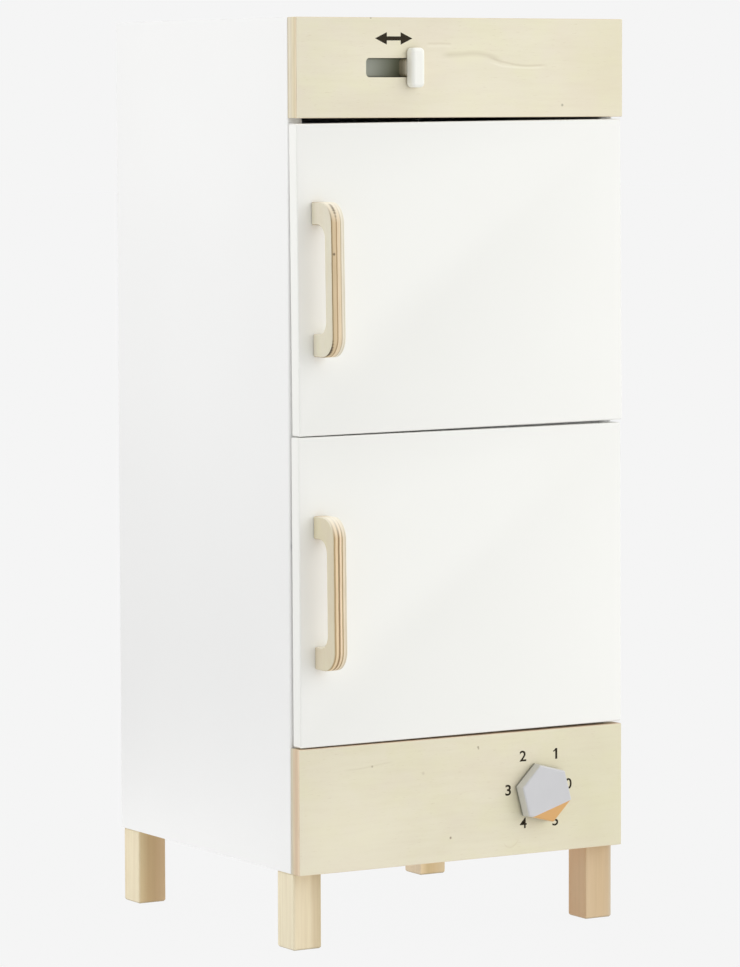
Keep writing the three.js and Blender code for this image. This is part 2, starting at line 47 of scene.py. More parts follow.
# The photograph's view
# It was taken with a long lens from four metres away, left of the front, with the lens a little
# below the fridge's top. The lens is given in pixels of the photograph's long side.
view_target = Vector((-96.9, -146.15, 401.6)) * MM
view_distance = 4037 * MM
view_azimuth = math.radians(-30.86)
view_elevation = math.radians(4.652)
view_roll = math.radians(-0.169)
lens_in_pixels = 4703
photo_long_side = 967

view_back = Vector((
    math.sin(view_azimuth) * math.cos(view_elevation),
    -math.cos(view_azimuth) * math.cos(view_elevation),
    math.sin(view_elevation),
))
camera_data = bpy.data.cameras.new("photo_camera")
camera_data.lens = lens_in_pixels * camera_data.sensor_width / photo_long_side
camera = bpy.data.objects.new("photo_camera", camera_data)
bpy.context.collection.objects.link(camera)
camera.location = view_target + view_back * view_distance
camera.rotation_euler = (-view_back).to_track_quat("-Z", "Y").to_euler()
camera.rotation_euler.rotate_axis("Z", view_roll)
bpy.context.scene.camera = camera
bpy.context.scene.view_settings.view_transform = "Standard"


# White cabinet boards
# The sides, top, back, floors and shelf are fibreboard, sprayed with white satin lacquer after their
# edges were eased with a router. The lacquer fills the board and dries almost flat.
def linear(hex_colour):
    """An sRGB hex colour as the linear colour that a shader takes."""
    shares = [int(hex_colour[place:place + 2], 16) / 255 for place in (1, 3, 5)]
    return (*[s / 12.92 if s <= 0.04045 else ((s + 0.055) / 1.055) ** 2.4 for s in shares], 1)


def node(material, kind, inputs=(), **settings):
    """Adds a node with its settings. Each input is given a value, or another node's output."""
    added = material.node_tree.nodes.new("ShaderNode" + kind)
    for setting, value in settings.items():
        setattr(added, setting, value)
    for socket, given in dict(inputs).items():
        if isinstance(given, bpy.types.NodeSocket):
            material.node_tree.links.new(given, added.inputs[socket])
        else:
            added.inputs[socket].default_value = given
    return added


def new_finish(name, **shader_values):
    """A material with an empty tree but for its shader, whose uniform values are set on its sockets."""
    finish = bpy.data.materials.new(name)
    finish.use_nodes = True
    shader = finish.node_tree.nodes["Principled BSDF"]
    for socket, value in shader_values.items():
        shader.inputs[socket.replace("_", " ")].default_value = value
    return finish, shader


def lay_on(finish, shader, tone, height, strength, depth):
    """Gives a finish its tone, and raises it where a height is high, by a strength and a depth."""
    raised = node(finish, "Bump", {"Height": height, "Strength": strength, "Distance": depth})
    finish.node_tree.links.new(tone, shader.inputs["Base Color"])
    finish.node_tree.links.new(raised.outputs["Normal"], shader.inputs["Normal"])


# The sockets by which a Mix node takes a share and two colours, and gives the tone between them.
mix_share, mix_first, mix_second, mix_tone = 0, 6, 7, 2

coating_ior = 1.5
drift_width = 180 * MM
peel_width = 2.2 * MM
peel_relief = (0.06, 0.05 * MM)


def white_lacquer(name, colour, shade_colour, roughness):
    """Sprayed satin lacquer: even white, with a soft drift in tone and a trace of orange peel.

    Real orange peel is about 1 mm across. It is drawn twice as coarse, so that it shows.
    """
    finish, shader = new_finish(name, Roughness=roughness, IOR=coating_ior)
    where = node(finish, "TexCoord").outputs["Object"]
    drift = node(finish, "TexNoise", {"Vector": where, "Scale": 1 / drift_width, "Detail": 2})
    peel = node(finish, "TexNoise", {"Vector": where, "Scale": 1 / peel_width, "Detail": 1})
    tone = node(finish, "Mix", {
        mix_share: drift.outputs["Fac"], mix_first: linear(colour), mix_second: linear(shade_colour),
    }, data_type="RGBA").outputs[mix_tone]
    lay_on(finish, shader, tone, peel.outputs["Fac"], *peel_relief)
    return finish


def select_only(piece):
    """Leaves one piece selected and active, because an operator acts on all that is selected."""
    bpy.ops.object.select_all(action="DESELECT")
    piece.select_set(True)
    bpy.context.view_layer.objects.active = piece


def settle(name):
    """Names the primitive just added and puts its place, turn and size into its mesh."""
    piece = bpy.context.object
    piece.name = name
    bpy.ops.object.transform_apply(location=True, rotation=True, scale=True)
    return piece


def block(name, low, high):
    """A cube drawn out to fill the space between two corners."""
    bpy.ops.object.select_all(action="DESELECT")
    bpy.ops.mesh.primitive_cube_add(size=1, location=(low + high) / 2)
    bpy.context.object.scale = high - low
    return settle(name)


def rod(name, radius, start, end):
    """A cylinder from one point to another."""
    bpy.ops.object.select_all(action="DESELECT")
    bpy.ops.mesh.primitive_cylinder_add(
        vertices=48,
        radius=radius,
        depth=(end - start).length,
        location=(start + end) / 2,
        rotation=(end - start).to_track_quat("Z", "Y").to_euler(),
    )
    return settle(name)


def apply_modifier(piece, kind, **settings):
    """Adds a modifier, sets it and applies it."""
    modifier = piece.modifiers.new("shaping", kind)
    for setting, value in settings.items():
        setattr(modifier, setting, value)
    select_only(piece)
    bpy.ops.object.modifier_apply(modifier=modifier.name)


def cut_away(piece, cutter):
    """Takes one shape out of a piece, and deletes the shape."""
    apply_modifier(piece, "BOOLEAN", operation="DIFFERENCE", solver="EXACT", object=cutter)
    bpy.data.objects.remove(cutter)


def deselect_all(mesh):
    """Leaves nothing of a mesh selected, because a new primitive is selected all over."""
    for parts in (mesh.polygons, mesh.edges, mesh.vertices):
        parts.foreach_set("select", [False] * len(parts))


def select_edges(piece, test):
    """Selects the edges whose two ends pass a test, and nothing else."""
    deselect_all(piece.data)
    for edge in piece.data.edges:
        first, second = (piece.data.vertices[index].co for index in edge.vertices)
        edge.select = test(first, second)


def edit(piece, operator, **settings):
    """Runs one edit mode operator on what is selected in a piece."""
    select_only(piece)
    bpy.context.tool_settings.mesh_select_mode = (False, True, False)
    bpy.ops.object.mode_set(mode="EDIT")
    operator(**settings)
    bpy.ops.object.mode_set(mode="OBJECT")


# Places less than a hair apart count as the same, and an edge turns sharp past the angle.
hair = 0.01 * MM
sharp_angle = math.radians(40)


def round_edges_along(piece, axis, radius, segments, beyond=None):
    """Rounds the long edges that run along one axis, all or only those that pass a test."""
    others = [other for other in range(3) if other != axis]

    def runs_along(first, second):
        straight = all(abs(first[other] - second[other]) < hair for other in others)
        return straight and (beyond is None or beyond(first))

    select_edges(piece, runs_along)
    edit(piece, bpy.ops.mesh.bevel, offset=radius, segments=segments, affect="EDGES")


def ease_edges(piece, radius, segments=3):
    """Rounds every sharp edge and shades the piece so that its flat faces stay flat."""
    apply_modifier(
        piece, "BEVEL", width=radius, segments=segments, limit_method="ANGLE", angle_limit=sharp_angle
    )
    select_only(piece)
    bpy.ops.object.shade_smooth_by_angle(angle=sharp_angle)
    apply_modifier(piece, "WEIGHTED_NORMAL", keep_sharp=True)


def hand_over(piece, body, finish_slot, finish, *nodes):
    """Gives a piece its finish and its body, and lets it stand for the frame's nodes."""
    if finish is not None:
        piece.data.materials.append(finish)
    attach(piece, body)
    if nodes:
        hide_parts(*nodes)


def space_of(node_name):
    """The two corners of a CAD node's box, and its middle."""
    low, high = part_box(node_name)
    return low, high, (low + high) / 2


cabinet_white = white_lacquer("satin_white_lacquer_on_fibreboard", "#F4F4F3", "#F0F0EF", 0.42)
cabinet_boards = [
    "left_side_panel", "right_side_panel", "top_panel", "back_panel", "freezer_ceiling",
    "compartment_divider", "fridge_floor", "bottom_panel", "fridge_shelf",
]
cabinet_board_ease = 0.35 * MM
front_corner_ease = 2.1 * MM
drill_play = 0.25 * MM
overlong = 30 * MM


def drill_blind(board, node_name, direction):
    """Drills the hole that a round node sits in, deeper by the play at its blind end."""
    low, high, middle = space_of(node_name)
    reach = (high - low).dot(Vector([abs(share) for share in direction])) / 2
    cut_away(board, rod(
        "drill", (high.z - low.z) / 2 + drill_play, middle - direction * overlong,
        middle + direction * (reach + drill_play),
    ))


for board_name in cabinet_boards:
    low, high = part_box(board_name)
    board = block("finished_" + board_name, low, high)
    if board_name.endswith("side_panel"):
        round_edges_along(
            board, 2, front_corner_ease, segments=5, beyond=lambda first: first.y < low.y + hair
        )
    ease_edges(board, cabinet_board_ease)
    hand_over(board, "cabinet", "white_paint", cabinet_white, board_name)

compartments = ("freezer", "fridge")
shelf_ends = ("front", "rear")
sides_of_cabinet = {"left": Vector((-1, 0, 0)), "right": Vector((1, 0, 0))}
backward = Vector((0, 1, 0))
for side, outward in sides_of_cabinet.items():
    for end_of_shelf in shelf_ends:
        drill_blind(
            bpy.data.objects[f"finished_{side}_side_panel"], f"{end_of_shelf}_{side}_shelf_pin",
            outward,
        )
for compartment in compartments:
    drill_blind(bpy.data.objects["finished_left_side_panel"], f"{compartment}_magnet", backward)


# Shelf pins, magnets and their strike discs
# Four turned steel pins stick out of the side panels and carry the shelf. A nickel plated magnet in
# the front edge of the left panel holds each door by a pressed steel disc screwed to its back.
turned_sides = 32
turned_smooth_angle = math.radians(30)

# A face looks squarely along an axis where its normal's share of it is over this.
squarely = 0.9


def turned(name, profile, start, direction):
    """A round piece drawn out of a short cylinder, ring by ring, and then laid along a direction."""
    (first_radius, first_height), (second_radius, second_height), *rings = profile
    bpy.ops.object.select_all(action="DESELECT")
    bpy.ops.mesh.primitive_cylinder_add(
        vertices=turned_sides, radius=first_radius, depth=second_height - first_height,
        location=(0, 0, (first_height + second_height) / 2),
    )
    piece = settle(name)
    deselect_all(piece.data)
    for polygon in piece.data.polygons:
        polygon.select = polygon.normal.z > squarely
    select_only(piece)
    bpy.context.tool_settings.mesh_select_mode = (False, False, True)
    bpy.ops.object.mode_set(mode="EDIT")
    radius, height = first_radius, second_height
    for next_radius, next_height in [(second_radius, second_height), *rings]:
        if (next_radius, next_height) != (radius, height):
            bpy.ops.mesh.extrude_region_move(
                TRANSFORM_OT_translate={"value": (0, 0, next_height - height)}
            )
            share = next_radius / radius
            bpy.ops.transform.resize(
                value=(share, share, 1), center_override=(0, 0, next_height)
            )
            radius, height = next_radius, next_height
    bpy.ops.object.mode_set(mode="OBJECT")
    piece.location = start
    piece.rotation_euler = direction.to_track_quat("Z", "Y").to_euler()
    bpy.ops.object.transform_apply(location=True, rotation=True, scale=True)
    bpy.ops.object.shade_smooth_by_angle(angle=turned_smooth_angle)
    return piece


cloud_width = 2.5 * MM
mark_width = 0.35 * MM
gloss_spread = (0.8, 1.25)


def plated_metal(name, colour, dull_colour, roughness):
    """Plated steel: bright metal with a faint cloudiness and marks from the tumbling drum.

    Real marks are finer than 0.1 mm. They are drawn coarser, so that they show.
    """
    finish, shader = new_finish(name, Metallic=1)
    where = node(finish, "TexCoord").outputs["Object"]
    clouds = node(finish, "TexNoise", {"Vector": where, "Scale": 1 / cloud_width, "Detail": 3})
    marks = node(finish, "TexNoise", {"Vector": where, "Scale": 1 / mark_width, "Detail": 2})
    tone = node(finish, "Mix", {
        mix_share: clouds.outputs["Fac"], mix_first: linear(colour), mix_second: linear(dull_colour),
    }, data_type="RGBA").outputs[mix_tone]
    glossy, dull = [roughness * share for share in gloss_spread]
    gloss = node(finish, "MapRange", {
        "Value": marks.outputs["Fac"], "To Min": glossy, "To Max": dull,
    })
    finish.node_tree.links.new(tone, shader.inputs["Base Color"])
    finish.node_tree.links.new(gloss.outputs[0], shader.inputs["Roughness"])
    return finish


zinc_plated = plated_metal("zinc_plated_steel", "#C6C9CB", "#A9ADAF", 0.34)
nickel_plated = plated_metal("nickel_plated_steel", "#D2CEC6", "#BDB8AF", 0.22)

pin_chamfer = 0.5 * MM
for end_of_shelf in shelf_ends:
    for side, outward in sides_of_cabinet.items():
        node_name = f"{end_of_shelf}_{side}_shelf_pin"
        low, high, middle = space_of(node_name)
        length, radius = high.x - low.x, (high.z - low.z) / 2
        profile = [
            (radius - pin_chamfer, 0), (radius - pin_chamfer, hair), (radius, pin_chamfer),
            (radius, length - pin_chamfer), (radius - pin_chamfer, length),
        ]
        end = Vector((low.x if side == "right" else high.x, middle.y, middle.z))
        pin = turned("finished_" + node_name, profile, end, outward)
        hand_over(pin, "cabinet", "steel", zinc_plated, node_name)

magnet_chamfer = 0.35 * MM
for compartment in compartments:
    node_name = f"{compartment}_magnet"
    low, high, middle = space_of(node_name)
    length, radius = high.y - low.y, (high.z - low.z) / 2
    profile = [
        (radius, 0), (radius, length - magnet_chamfer), (radius - magnet_chamfer, length)
    ]
    magnet = turned("finished_" + node_name, profile, Vector((middle.x, high.y, middle.z)), -backward)
    hand_over(magnet, "cabinet", "nickel", nickel_plated, node_name)


# Pine legs
# Four square blanks of planed pine with a clear matt varnish, their long edges sanded round. Each was
# sawn from its own place in the trunk, so its growth bands stand upright in its own order of tones.
# The tones also hold painted shade: a face that lies in shade under the cabinet, as the front right
# leg's left side does, is drawn darker, and each leg's lower edge is painted dark as shade.
def millimetres_of(finish, middle, lean=0):
    """A piece's own coordinates in millimetres, measured from its middle along its own edges."""
    where = node(finish, "TexCoord").outputs["Object"]
    own = node(finish, "Mapping", {
        "Vector": where, "Location": middle, "Rotation": (0, lean, 0), "Scale": (MM, MM, MM),
    }, vector_type="TEXTURE")
    return own.outputs["Vector"]


def uneven(finish, place, lengths, seed, detail=2):
    """An uneven pattern whose features have these lengths in millimetres along the piece's edges."""
    counted = node(finish, "VectorMath", {0: place, 1: lengths}, operation="DIVIDE")
    return node(finish, "TexNoise", {
        "Vector": counted.outputs["Vector"], "Scale": 1, "Detail": detail, "W": seed,
    }, noise_dimensions="4D").outputs["Fac"]


def tinged(finish, tone, pattern, start, end, most, colour):
    """A tone that takes on more of a colour, up to a share, as a pattern goes from start to end."""
    share = node(finish, "MapRange", {
        "Value": pattern, "From Min": start, "From Max": end, "To Max": most,
    })
    return node(finish, "Mix", {
        mix_share: share.outputs[0], mix_first: tone, mix_second: colour,
    }, data_type="RGBA").outputs[mix_tone]


def shade_towards(finish, place, axis, start, end, most, colour):
    """Lets a colour take over a finish between two places along one axis, in millimetres."""
    shader = finish.node_tree.nodes["Principled BSDF"]
    base = shader.inputs["Base Color"]
    tone = base.links[0].from_socket if base.is_linked else tuple(base.default_value)
    along = node(finish, "SeparateXYZ", {"Vector": place}).outputs[axis]
    shaded = tinged(finish, tone, along, start, end, most, linear(colour))
    finish.node_tree.links.new(shaded, base)


band_sway = 5
sway_size = (40, 40, 120)
streak_size = (2.6, 2.6, 90)
fibre_size = (0.7, 0.7, 22)
pine_relief = (0.2, 0.06 * MM)

# Where in a pattern a tone starts to show and where it is full, and how strong it is then.
streak_spread = (0.4, 0.72, 0.18)
fibre_spread = (0.45, 0.75, 0.1)


def planed_pine(name, middle, height, bands, seed):
    """Varnished pine: upright bands of tone, soft streaks, fibres and a lower edge painted dark as
    shade.

    The sizes are in millimetres. Real fibres are finer than 0.1 mm, and are drawn coarser to show.
    """
    finish, shader = new_finish(name, Roughness=0.5, IOR=coating_ior)
    place = millimetres_of(finish, middle)
    sway = uneven(finish, place, sway_size, seed)
    across = node(finish, "SeparateXYZ", {"Vector": place}).outputs["X"]
    swayed = node(finish, "Math", {0: sway, 1: band_sway, 2: across}, operation="MULTIPLY_ADD")
    start, width = bands[0][0], bands[-1][0] - bands[0][0]
    share = node(finish, "MapRange", {
        "Value": swayed.outputs[0],
        "From Min": start + band_sway / 2, "From Max": start + width + band_sway / 2,
    })
    ramp = node(finish, "ValToRGB", {"Fac": share.outputs[0]})
    stops = ramp.color_ramp.elements
    for index, (reached, colour) in enumerate(bands):
        stop = stops[index] if index < 2 else stops.new(1)
        stop.position = (reached - start) / width
        stop.color = linear(colour)
    streaks = uneven(finish, place, streak_size, seed + 5, detail=3)
    fibres = uneven(finish, place, fibre_size, seed + 9)
    fibre_tone = linear(leg_fibre_colour)
    streaked = tinged(finish, ramp.outputs["Color"], streaks, *streak_spread, fibre_tone)
    fibrous = tinged(finish, streaked, fibres, *fibre_spread, fibre_tone)
    lay_on(finish, shader, fibrous, fibres, *pine_relief)
    # Painted shade along the lower edge, where the leg meets the floor.
    shade_towards(
        finish, place, 2, leg_floor_shade_height - height / 2, -height / 2, 0.8, leg_floor_shade_colour
    )
    return finish


def round_rim(piece, axis, level, radius, segments):
    """Rounds the edges round a piece's lower end along one axis, which lies at a level."""
    select_edges(
        piece, lambda first, second: max(first[axis], second[axis]) < level + hair
    )
    edit(piece, bpy.ops.mesh.bevel, offset=radius, segments=segments, affect="EDGES")


def drill_for_screw(piece, node_name, radius, axis):
    """Drills a screw's hole, open towards its head, with play round the screw and at its tip."""
    low, high, tip = space_of(node_name)
    mouth = tip.copy()
    tip[axis] = low[axis] - drill_play
    mouth[axis] = high[axis] + overlong
    cut_away(piece, rod("drill", radius + drill_play, mouth, tip))


leg_ease = 1.5 * MM
leg_foot_ease = 2.2 * MM
leg_screw_radius = 2.5 * MM
# The lowest millimetres of each leg are painted darker, as the shade where it meets the floor.
leg_floor_shade_height = 1.6
leg_floor_shade_colour = "#7E7254"
leg_fibre_colour = "#B0946A"
# Each leg's tones across it in millimetres: partly the wood's own, and partly painted shade on the
# faces that lie in shade under the cabinet.
leg_tones_and_shade = {
    "front_left": [
        (-14, "#EDE2C4"), (-11, "#ECDDBC"), (2, "#EADBB9"), (6, "#D8C6A3"), (14, "#CFBE99"),
    ],
    "front_right": [
        (-14, "#C9A47C"), (-12, "#D9BF99"), (4, "#D5BA92"), (10, "#D3BA96"), (14, "#D2C8B6"),
    ],
    "rear_left": [
        (-14, "#EBDEBE"), (-12, "#DBC497"), (-4, "#C6A97B"), (3, "#C2A377"), (14, "#D0B289"),
    ],
    "rear_right": [
        (-14, "#E8D4B8"), (-12, "#E2CAA0"), (-6, "#CCB385"), (0, "#CEB386"), (14, "#D3BF9A"),
    ],
}
for seed, (corner, bands) in enumerate(leg_tones_and_shade.items()):
    low, high, middle = space_of(f"{corner}_leg")
    leg = block(f"finished_{corner}_leg", low, high)
    round_rim(leg, 2, low.z, leg_foot_ease, segments=5)
    ease_edges(leg, leg_ease)
    drill_for_screw(leg, f"{corner}_leg_screw", leg_screw_radius, 2)
    pine = planed_pine(f"varnished_pine_{corner}", middle, (high.z - low.z) / MM, bands, seed)
    hand_over(leg, "cabinet", "pine", pine, f"{corner}_leg")


# Plywood front boards
# The boards above and below the doors are 15 mm plywood with a pale veneer, clear matt varnish and
# bare eased edges that show the plies. The upper one has a routed slot for the slider.
spot_core = 0.3


def small_knots(finish, place, knots_and_spots, tone):
    """Adds knots and wide pale or yellow spots, each a place, radius, strength and colour. On the
    handles the wide pale spots are painted highlights.
    """
    for centre, radius, strength, colour in knots_and_spots:
        away = node(finish, "VectorMath", {0: place, 1: centre}, operation="DISTANCE")
        tone = tinged(
            finish, tone, away.outputs["Value"], radius, radius * spot_core, strength, linear(colour)
        )
    return tone


figure_reach = 50
figure_fade_from = 0.36


def curved_figures(finish, place, figures, tone):
    """Soft grain lines, each a curve in the board's face with its width, strength and colour."""
    parts = node(finish, "SeparateXYZ", {"Vector": place})
    for points, width, strength, colour in figures:
        start, length = points[0][0], points[-1][0] - points[0][0]
        share = node(finish, "MapRange", {
            "Value": parts.outputs["X"], "From Min": start, "From Max": start + length,
        }).outputs[0]
        course = node(finish, "FloatCurve", {"Value": share})
        curve = course.mapping.curves[0]
        for index, (across, height) in enumerate(points):
            spot = ((across - start) / length, 0.5 + height / figure_reach / 2)
            if index < 2:
                curve.points[index].location = spot
            else:
                curve.points.new(*spot)
        course.mapping.update()
        line = node(finish, "MapRange", {
            "Value": course.outputs[0], "To Min": -figure_reach, "To Max": figure_reach,
        })
        above = node(
            finish, "Math", {0: parts.outputs["Z"], 1: line.outputs[0]}, operation="SUBTRACT"
        )
        away = node(finish, "Math", {0: above.outputs[0]}, operation="ABSOLUTE")
        past_middle = node(finish, "Math", {0: share, 1: 0.5}, operation="SUBTRACT")
        from_middle = node(finish, "Math", {0: past_middle.outputs[0]}, operation="ABSOLUTE")
        on_line = node(finish, "MapRange", {
            "Value": away.outputs[0], "From Min": width, "From Max": 0, "To Max": strength,
        })
        within_ends = node(finish, "MapRange", {
            "Value": from_middle.outputs[0], "From Min": 0.5, "From Max": figure_fade_from,
        })
        fade = node(
            finish, "Math", {0: on_line.outputs[0], 1: within_ends.outputs[0]}, operation="MULTIPLY"
        )
        tone = node(finish, "Mix", {
            mix_share: fade.outputs[0], mix_first: tone, mix_second: linear(colour),
        }, data_type="RGBA").outputs[mix_tone]
    return tone


patch_shares = (0.5, 0.5, 0.5)
figure_shares = (0.7, 0.1, 0.1)
pore_shares = (0.1, 0.05, 0.02)
yellow_spread = (0.42, 0.62, 0.6)
rosy_spread = (0.45, 0.65, 0.6)
figure_spread = (0.42, 0.75, 0.1)
pore_spread = (0.62, 0.78, 0.4)
veneer_relief = (0.12, 0.05 * MM)


def veneer(name, middle, grain, tones, seed, lean=0, knots_and_spots=(), figures=()):
    """Varnished pale veneer: soft patches of three tones, faint grain and a few short pores.

    The grain gives the patches' lengths in millimetres, and the rest are shares of it. Real pores
    are finer than 0.1 mm, and are drawn coarser to show.
    """
    finish, shader = new_finish(name, Roughness=0.52, IOR=coating_ior)
    place = millimetres_of(finish, middle, lean)
    main_tone, yellow_tone, rosy_tone, pore_tone = [linear(colour) for colour in tones]
    patch_size, figure_size, pore_size = (
        [length * share for length, share in zip(grain, shares)]
        for shares in (patch_shares, figure_shares, pore_shares)
    )
    patches = uneven(finish, place, patch_size, seed, detail=3)
    drift = uneven(finish, place, grain, seed + 3)
    figure = uneven(finish, place, figure_size, seed + 7, detail=4)
    pores = uneven(finish, place, pore_size, seed + 13)
    yellowed = tinged(finish, main_tone, patches, *yellow_spread, yellow_tone)
    blushed = tinged(finish, yellowed, drift, *rosy_spread, rosy_tone)
    grained = tinged(finish, blushed, figure, *figure_spread, pore_tone)
    pored = tinged(finish, grained, pores, *pore_spread, pore_tone)
    knotted_and_spotted = small_knots(finish, place, knots_and_spots, pored)
    figured = curved_figures(finish, place, figures, knotted_and_spotted)
    lay_on(finish, shader, figured, figure, *veneer_relief)
    return finish


waver_size = (9, 9, 9)
ply_fibre_colour = "#A58C66"
ply_fibre_spread = (0.42, 0.75, 0.25)
ply_relief = (0.3, 0.1 * MM)


def ply_edge(name, middle, stack_axis, grain, plies, seed, lean=0, waver=0, knots_and_spots=()):
    """The bare edge of plywood: plies and glue lines, given as their thicknesses and colours."""
    finish, shader = new_finish(name, Roughness=0.62, IOR=coating_ior)
    place = millimetres_of(finish, middle, lean)
    total = sum(thickness for thickness, colour in plies)
    depth = node(finish, "SeparateXYZ", {"Vector": place}).outputs[stack_axis]
    wave = uneven(finish, place, waver_size, seed + 2)
    wavy = node(finish, "Math", {0: wave, 1: waver, 2: depth}, operation="MULTIPLY_ADD")
    share = node(finish, "MapRange", {
        "Value": wavy.outputs[0], "From Min": (waver - total) / 2, "From Max": (waver + total) / 2,
    })
    ramp = node(finish, "ValToRGB", {"Fac": share.outputs[0]})
    ramp.color_ramp.interpolation = "CONSTANT"
    stops = ramp.color_ramp.elements
    reached = 0
    for index, (thickness, colour) in enumerate(plies):
        stop = stops[index] if index < 2 else stops.new(reached / total)
        stop.position = reached / total
        stop.color = linear(colour)
        reached += thickness
    fibres = uneven(finish, place, grain, seed, detail=4)
    fibrous = tinged(
        finish, ramp.outputs["Color"], fibres, *ply_fibre_spread, linear(ply_fibre_colour)
    )
    knotted_and_spotted = small_knots(finish, place, knots_and_spots, fibrous)
    lay_on(finish, shader, knotted_and_spotted, fibres, *ply_relief)
    return finish


def veneer_and_edge(piece, veneer_finish, edge_finish, face_axis):
    """Gives the faces that look along one axis the veneer, and all others the layered edge."""
    piece.data.materials.append(veneer_finish)
    piece.data.materials.append(edge_finish)
    for polygon in piece.data.polygons:
        polygon.material_index = 0 if abs(polygon.normal[face_axis]) > squarely else 1


board_ease = 0.7 * MM
slot_corner = 3.6 * MM
slot_play = 0.4 * MM
slot_length = 52.4 * MM
board_grain = (60, 40, 40)
board_edge_grain = (26, 1.2, 26)
board_plies = {
    "top_front_board": [
        (2.2, "#E2D2B4"), (0.9, "#D6C6A2"), (2.2, "#DDD1B1"), (2.0, "#E1D6B9"), (2.0, "#DDD3B9"),
        (2.2, "#E0D8C2"), (1.8, "#E3DBC4"), (1.7, "#BCAE92"),
    ],
    "bottom_front_board": [
        (2.2, "#E7D2B6"), (2.2, "#DBC4A7"), (2.6, "#D7BEA0"), (3.4, "#DAC7A9"), (2.6, "#D2C8B1"),
        (2.0, "#C9C2B2"),
    ],
}
veneer_tones = {
    "top_front_board": ("#EAE3CB", "#EAE5C6", "#E8DEC9", "#CDBF9C"),
    "bottom_front_board": ("#E6DFC6", "#E4DEBE", "#E2D8C2", "#C6B795"),
}
board_knots = {
    "top_front_board": [
        ((170, -7.5, 0), 75, 0.3, "#D8CEA8"), ((5, -7.5, -30), 60, 0.3, "#F4EDD8"),
        ((102.6, -7.5, -32.4), 1.6, 0.7, "#8E8668"), ((-92.3, -7.5, 42.6), 1.4, 0.8, "#7C6F55"),
    ],
    "bottom_front_board": [
        ((165, -7.5, 0), 130, 0.35, "#D2CEA7"), ((-120, -7.5, -25), 75, 0.4, "#F0E9D2"),
        ((15, -7.5, 44), 1.3, 0.8, "#8F7F60"), ((15.4, -7.5, 42.6), 1.1, 0.6, "#8F7F60"),
        ((-13.5, -7.5, -33.7), 1.5, 0.9, "#95806A"), ((-93, -7.5, 35), 1.3, 0.7, "#9C8C6C"),
        ((-41.4, -7.5, 25.2), 2.0, 0.25, "#A39272"),
    ],
}
board_figures = {
    "top_front_board": [
        ([(-37, 20.6), (-24, 20.8), (-10, 20.4)], 1.3, 0.3, "#C6B896"),
        ([(-37, 18.2), (-22, 18.5), (-10, 17.9)], 1.6, 0.3, "#F6F1DE"),
        (
            [(-23, 10.4), (-8, 11.3), (0, 11.6), (10, 12.3), (20, 11.7), (30, 9.6), (41, 5.6)],
            3.4, 0.4, "#C5BA9A",
        ),
        (
            [(24, 10.2), (36, 6.3), (46, 4.2), (56, 2.5), (66, 1.8), (76, 2.1), (88, 2.6)],
            1.4, 0.38, "#C2B491",
        ),
        (
            [(26, 5.4), (33, 3.4), (41, 1.5), (51, 0.6), (61, 0), (74, 0), (86, 0.6)],
            1.4, 0.5, "#FAF5E2",
        ),
    ],
    "bottom_front_board": [
        ([(-122, 34), (-106, 34), (-92, 35.5), (-70, 38)], 1.3, 0.25, "#C9BE9C"),
        ([(41, -43), (46, -47), (52, -46), (58, -40)], 1.4, 0.3, "#CBBC98"),
    ],
}

stem_low, stem_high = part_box("slider_stem")
slot_right = stem_high.x + slot_play
slot_low = Vector((slot_right - slot_length, stem_low.y - overlong, stem_low.z - slot_play))
slot_high = Vector((slot_right, stem_high.y + overlong, stem_high.z + slot_play))
shaft_low, shaft_high, shaft_middle = space_of("dial_shaft")
shaft_radius = (shaft_high.x - shaft_low.x) / 2
for seed, (board_name, knots_and_spots) in enumerate(board_knots.items()):
    low, high, middle = space_of(board_name)
    board = block("finished_" + board_name, low, high)
    ease_edges(board, board_ease)
    if board_name == "top_front_board":
        slot_bit = block("slot_bit", slot_low, slot_high)
        round_edges_along(slot_bit, 1, slot_corner, segments=8)
        cut_away(board, slot_bit)
    else:
        cut_away(board, rod(
            "drill", shaft_radius + drill_play,
            Vector((shaft_middle.x, low.y - overlong, shaft_middle.z)),
            Vector((shaft_middle.x, high.y + overlong, shaft_middle.z)),
        ))
    face_veneer = veneer(
        f"varnished_veneer_{board_name}", middle, board_grain, veneer_tones[board_name], seed,
        knots_and_spots=knots_and_spots, figures=board_figures[board_name],
    )
    edge_plies = ply_edge(
        f"ply_edge_{board_name}", middle, 1, board_edge_grain, board_plies[board_name], seed
    )
    veneer_and_edge(board, face_veneer, edge_plies, 1)
    hand_over(board, "cabinet", "plywood", None, board_name)


# Printed arrow and numbers
# Dark brown ink, screen printed on the varnish: a double arrow over the slot, and the numbers
# from 0 to 5 in a ring round the dial, 0 at the right.
print_ink, ink_shader = new_finish("screen_printing_ink", Roughness=0.6, Specular_IOR_Level=0.12)
ink_depth = 0.03 * MM
ink_mottle_size = (0.9, 0.9, 0.9)
board_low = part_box("top_front_board")[0]
ink_place = millimetres_of(print_ink, (0, 0, 0))
ink_mottle = uneven(print_ink, ink_place, ink_mottle_size, 0, detail=3)
ink_tone = node(print_ink, "Mix", {
    mix_share: ink_mottle, mix_first: linear("#2A241A"), mix_second: linear("#383122"),
}, data_type="RGBA").outputs[mix_tone]
print_ink.node_tree.links.new(ink_tone, ink_shader.inputs["Base Color"])

